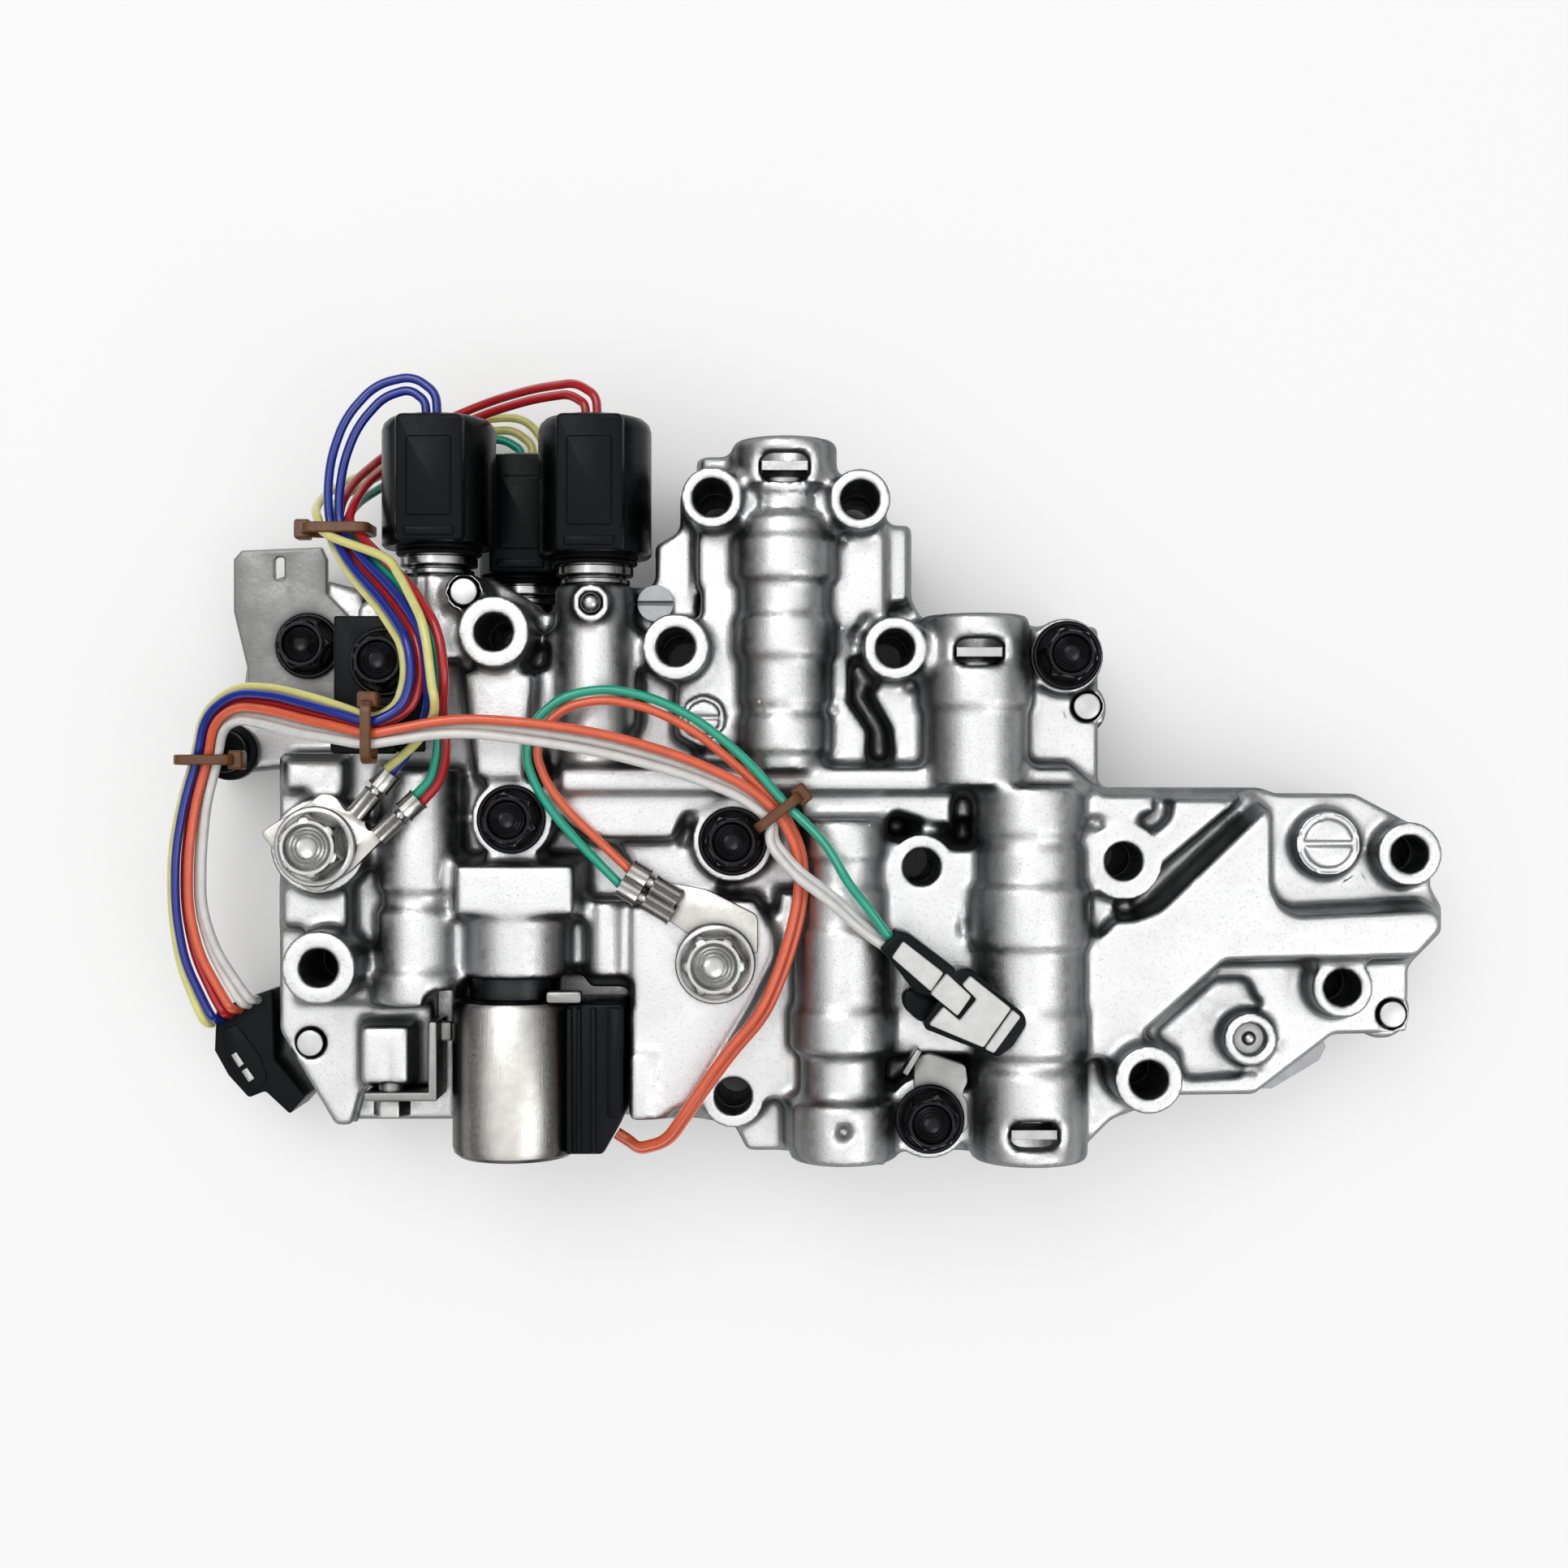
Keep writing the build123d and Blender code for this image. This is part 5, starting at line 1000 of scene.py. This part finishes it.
can = [(3.0, -23.2), (8.0, -23.2), (CAN_RADIUS - 1.6, -23.3), (CAN_RADIUS - 0.5, -23.7), (CAN_RADIUS, -24.6),
       (CAN_RADIUS, -49.2), (CAN_RADIUS - 0.3, -50.3), (CAN_RADIUS - 1.1, -51.0), (CAN_RADIUS - 2.2, -51.15),
       (3.0, -51.15)]
shaped("steel_can", [turned(CAN_X, CAN_Z, can, CAN_SIDES)], finishes["can"], "can_steel", "solenoid_d_can")
connector = [slab([(-62.0, -24.0), (-52.0, -24.0), (-52.0, -44.0), (-55.5, -50.2), (-62.0, -50.2)],
                  14.5, 31.6, 0.8, 0.5)]
for left, right, far in ((-61.8, -60.9, -50.0), (-60.0, -59.3, -50.0), (-57.6, -56.7, -49.8),
                         (-54.6, -52.4, -43.6)):
    connector.append(slab([(left, -24.6), (right, -24.6), (right, far), (left, far)], 20.0, 32.5, 0.3, 0.25))
shaped("can_connector", connector, finishes["black_plastic"], "connector_black", "solenoid_d_connector")
collar_clip = slab(seen([(673, 1222), (716, 1222), (716, 1236), (673, 1236)], 34.0), 31.0, 34.4, 0.6, 0.3)
shaped("collar_clip", [collar_clip], finishes["bracket"], "bracket_steel")


# Valve springs

def coil(valve):
    """The valve's spring, on a mesh of its own in place of the part's."""
    node = f"{valve}_spring"
    obj = placed(f"{valve}_coil", nodes[node].data.copy())
    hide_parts(node)
    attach(obj, BODY)
    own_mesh(obj)


for valve in BORES:
    coil(valve)


# Extra yellow lead on top of the bundle, from the lowest solenoid to the left terminal

def smooth_path(points, step=0.8):
    """Points along a curve through the given ones."""
    given = [Vector(p) for p in points]
    given = [2 * given[0] - given[1]] + given + [2 * given[-1] - given[-2]]
    path = []
    for a, b, c, d in zip(given, given[1:], given[2:], given[3:]):
        count = max(2, int((c - b).length / step))
        for i in range(count):
            t = i / count
            path.append(0.5 * (2 * b + (c - a) * t + (2 * a - 5 * b + 4 * c - d) * t ** 2
                               + (3 * b - a - 3 * c + d) * t ** 3))
    return path + [given[-2]]


def wire(name, points, radius, finish, slot):
    """Round wire along a smooth path."""
    path = smooth_path(points)
    rings = []
    side = Vector((0, 0, 1)).cross(path[1] - path[0]).normalized()
    for index, here in enumerate(path):
        heading = (path[min(index + 1, len(path) - 1)] - path[max(index - 1, 0)]).normalized()
        side = (side - heading * side.dot(heading)).normalized()
        up = heading.cross(side)
        rings.append([tuple(here + side * (radius * math.cos(math.tau * i / WIRE_SIDES))
                            + up * (radius * math.sin(math.tau * i / WIRE_SIDES)))
                      for i in range(WIRE_SIDES)])
    shaped(name, [rings], finish, slot)


# The lead's hidden start in millimetres, and its way over the bundle as pixels and level
LEAD_START = [(-69.0, 74.8, 8.0), (-69.2, 78.8, 8.0), (-73.4, 82.4, 7.4), (-82.0, 82.0, 6.4),
              (-91.4, 78.4, 6.4), (-99.6, 72.6, 10.6), (-105.0, 67.4, 20.2), (-106.2, 63.4, 27.6),
              (-105.2, 60.6, 31.4), (-103.0, 57.6, 33.0)]
LEAD_SEEN = [(472, 686, 36.8), (491, 708, 39.2), (506, 736, 42.8), (519, 764, 45.8), (525, 790, 46.75),
             (529, 820, 46.75), (532, 845, 46.7), (535, 862, 45.9), (534, 880, 43.4), (525, 900, 41.0),
             (508, 920, 38.8), (490, 936, 37.3), (477, 947, 36.2)]
wire("yellow_lead", LEAD_START + [row(*point) for point in LEAD_SEEN], WIRE_RADIUS, finishes["yellow"],
     "wire_yellow")


# Floor, light and camera

def combined(tree, operation, first, second):
    """The value that the operation makes of two others."""
    result = tree.nodes.new("ShaderNodeMath")
    result.operation = operation
    tree.links.new(first, result.inputs[0])
    tree.links.new(second, result.inputs[1])
    return result.outputs[0]


def floor():
    """Pale floor that looks white from the camera and in the metal, keeps the object's shadow, and has a
    painted shadow where its white emission fades near and under the object.
    """
    low = -FLOOR_HALF
    high = FLOOR_HALF
    z = cad_bounds[0][2] - FLOOR_GAP
    corners = [(low, low, z), (high, low, z), (high, high, z), (low, high, z)]
    obj = mesh_object("floor", corners, [(0, 1, 2, 3)])
    material, tree, shader = new_material("pale_floor")
    shader.inputs["Base Color"].default_value = FLOOR_TONE
    shader.inputs["Roughness"].default_value = 0.9
    shader.inputs["Specular IOR Level"].default_value = 0.1
    white = tree.nodes.new("ShaderNodeEmission")
    white.inputs["Strength"].default_value = 1.0
    path = tree.nodes.new("ShaderNodeLightPath")
    share = path.outputs["Is Camera Ray"]
    for ray in ("Is Glossy Ray", "Is Transmission Ray"):
        share = combined(tree, "MAXIMUM", share, path.outputs[ray])
    # Painted shadow: the white emission fades where the object closes off the sky, near and under it.
    open_sky = tree.nodes.new("ShaderNodeAmbientOcclusion")
    open_sky.samples = 2
    open_sky.inputs["Distance"].default_value = SHADOW_REACH
    emission_with_painted_shadow = spread(tree, open_sky.outputs["AO"], 0.0, FLOOR_GLOW, 0.1, 0.8)
    mix = tree.nodes.new("ShaderNodeMixShader")
    tree.links.new(combined(tree, "MULTIPLY", share, emission_with_painted_shadow), mix.inputs[0])
    tree.links.new(shader.outputs[0], mix.inputs[1])
    tree.links.new(white.outputs[0], mix.inputs[2])
    output = next(n for n in tree.nodes if n.type == "OUTPUT_MATERIAL")
    tree.links.new(mix.outputs[0], output.inputs["Surface"])
    obj.data.materials.append(material)


def world():
    """Sky that is bright overhead and dim at the horizon."""
    sky = bpy.data.worlds.new("studio")
    scene.world = sky
    sky.use_nodes = True
    tree = sky.node_tree
    tree.nodes.clear()
    output = tree.nodes.new("ShaderNodeOutputWorld")
    background = tree.nodes.new("ShaderNodeBackground")
    place = tree.nodes.new("ShaderNodeTexCoord")
    split = tree.nodes.new("ShaderNodeSeparateXYZ")
    tree.links.new(place.outputs["Generated"], split.inputs[0])
    level = spread(tree, split.outputs["Z"], HORIZON_LEVEL, ZENITH_LEVEL, HORIZON_HEIGHT, 1.0)
    level.node.interpolation_type = "SMOOTHSTEP"
    tree.links.new(level, background.inputs["Strength"])
    background.inputs["Color"].default_value = (1, 1, 1, 1)
    tree.links.new(background.outputs[0], output.inputs["Surface"])


def area(name, place, target, power):
    """Square lamp that looks at the target."""
    light = bpy.data.lights.new(name, "AREA")
    light.shape = "SQUARE"
    light.size = LAMP_SIZE
    light.energy = power
    obj = placed(name, light)
    obj.location = place
    obj.rotation_euler = (Vector(target) - Vector(place)).to_track_quat("-Z", "Y").to_euler()


def camera():
    """The photograph's camera."""
    data = bpy.data.cameras.new("camera")
    data.sensor_fit = "HORIZONTAL"
    data.sensor_width = SENSOR
    data.lens = PIXELS_TIMES_DEPTH * SENSOR / PHOTO_WIDTH
    data.clip_start = 0.01
    data.clip_end = 20
    obj = placed("camera", data)
    obj.location = (CAMERA_X * MM, CAMERA_Y * MM, CAMERA_HEIGHT * MM)
    scene.camera = obj


floor()
world()
middle = (CAMERA_X * MM, CAMERA_Y * MM, 0.02)
area("key", KEY_PLACE, middle, KEY_POWER)
area("fill", FILL_PLACE, middle, FILL_POWER)
camera()
scene.view_settings.view_transform = "Standard"

bpy.context.view_layer.update()
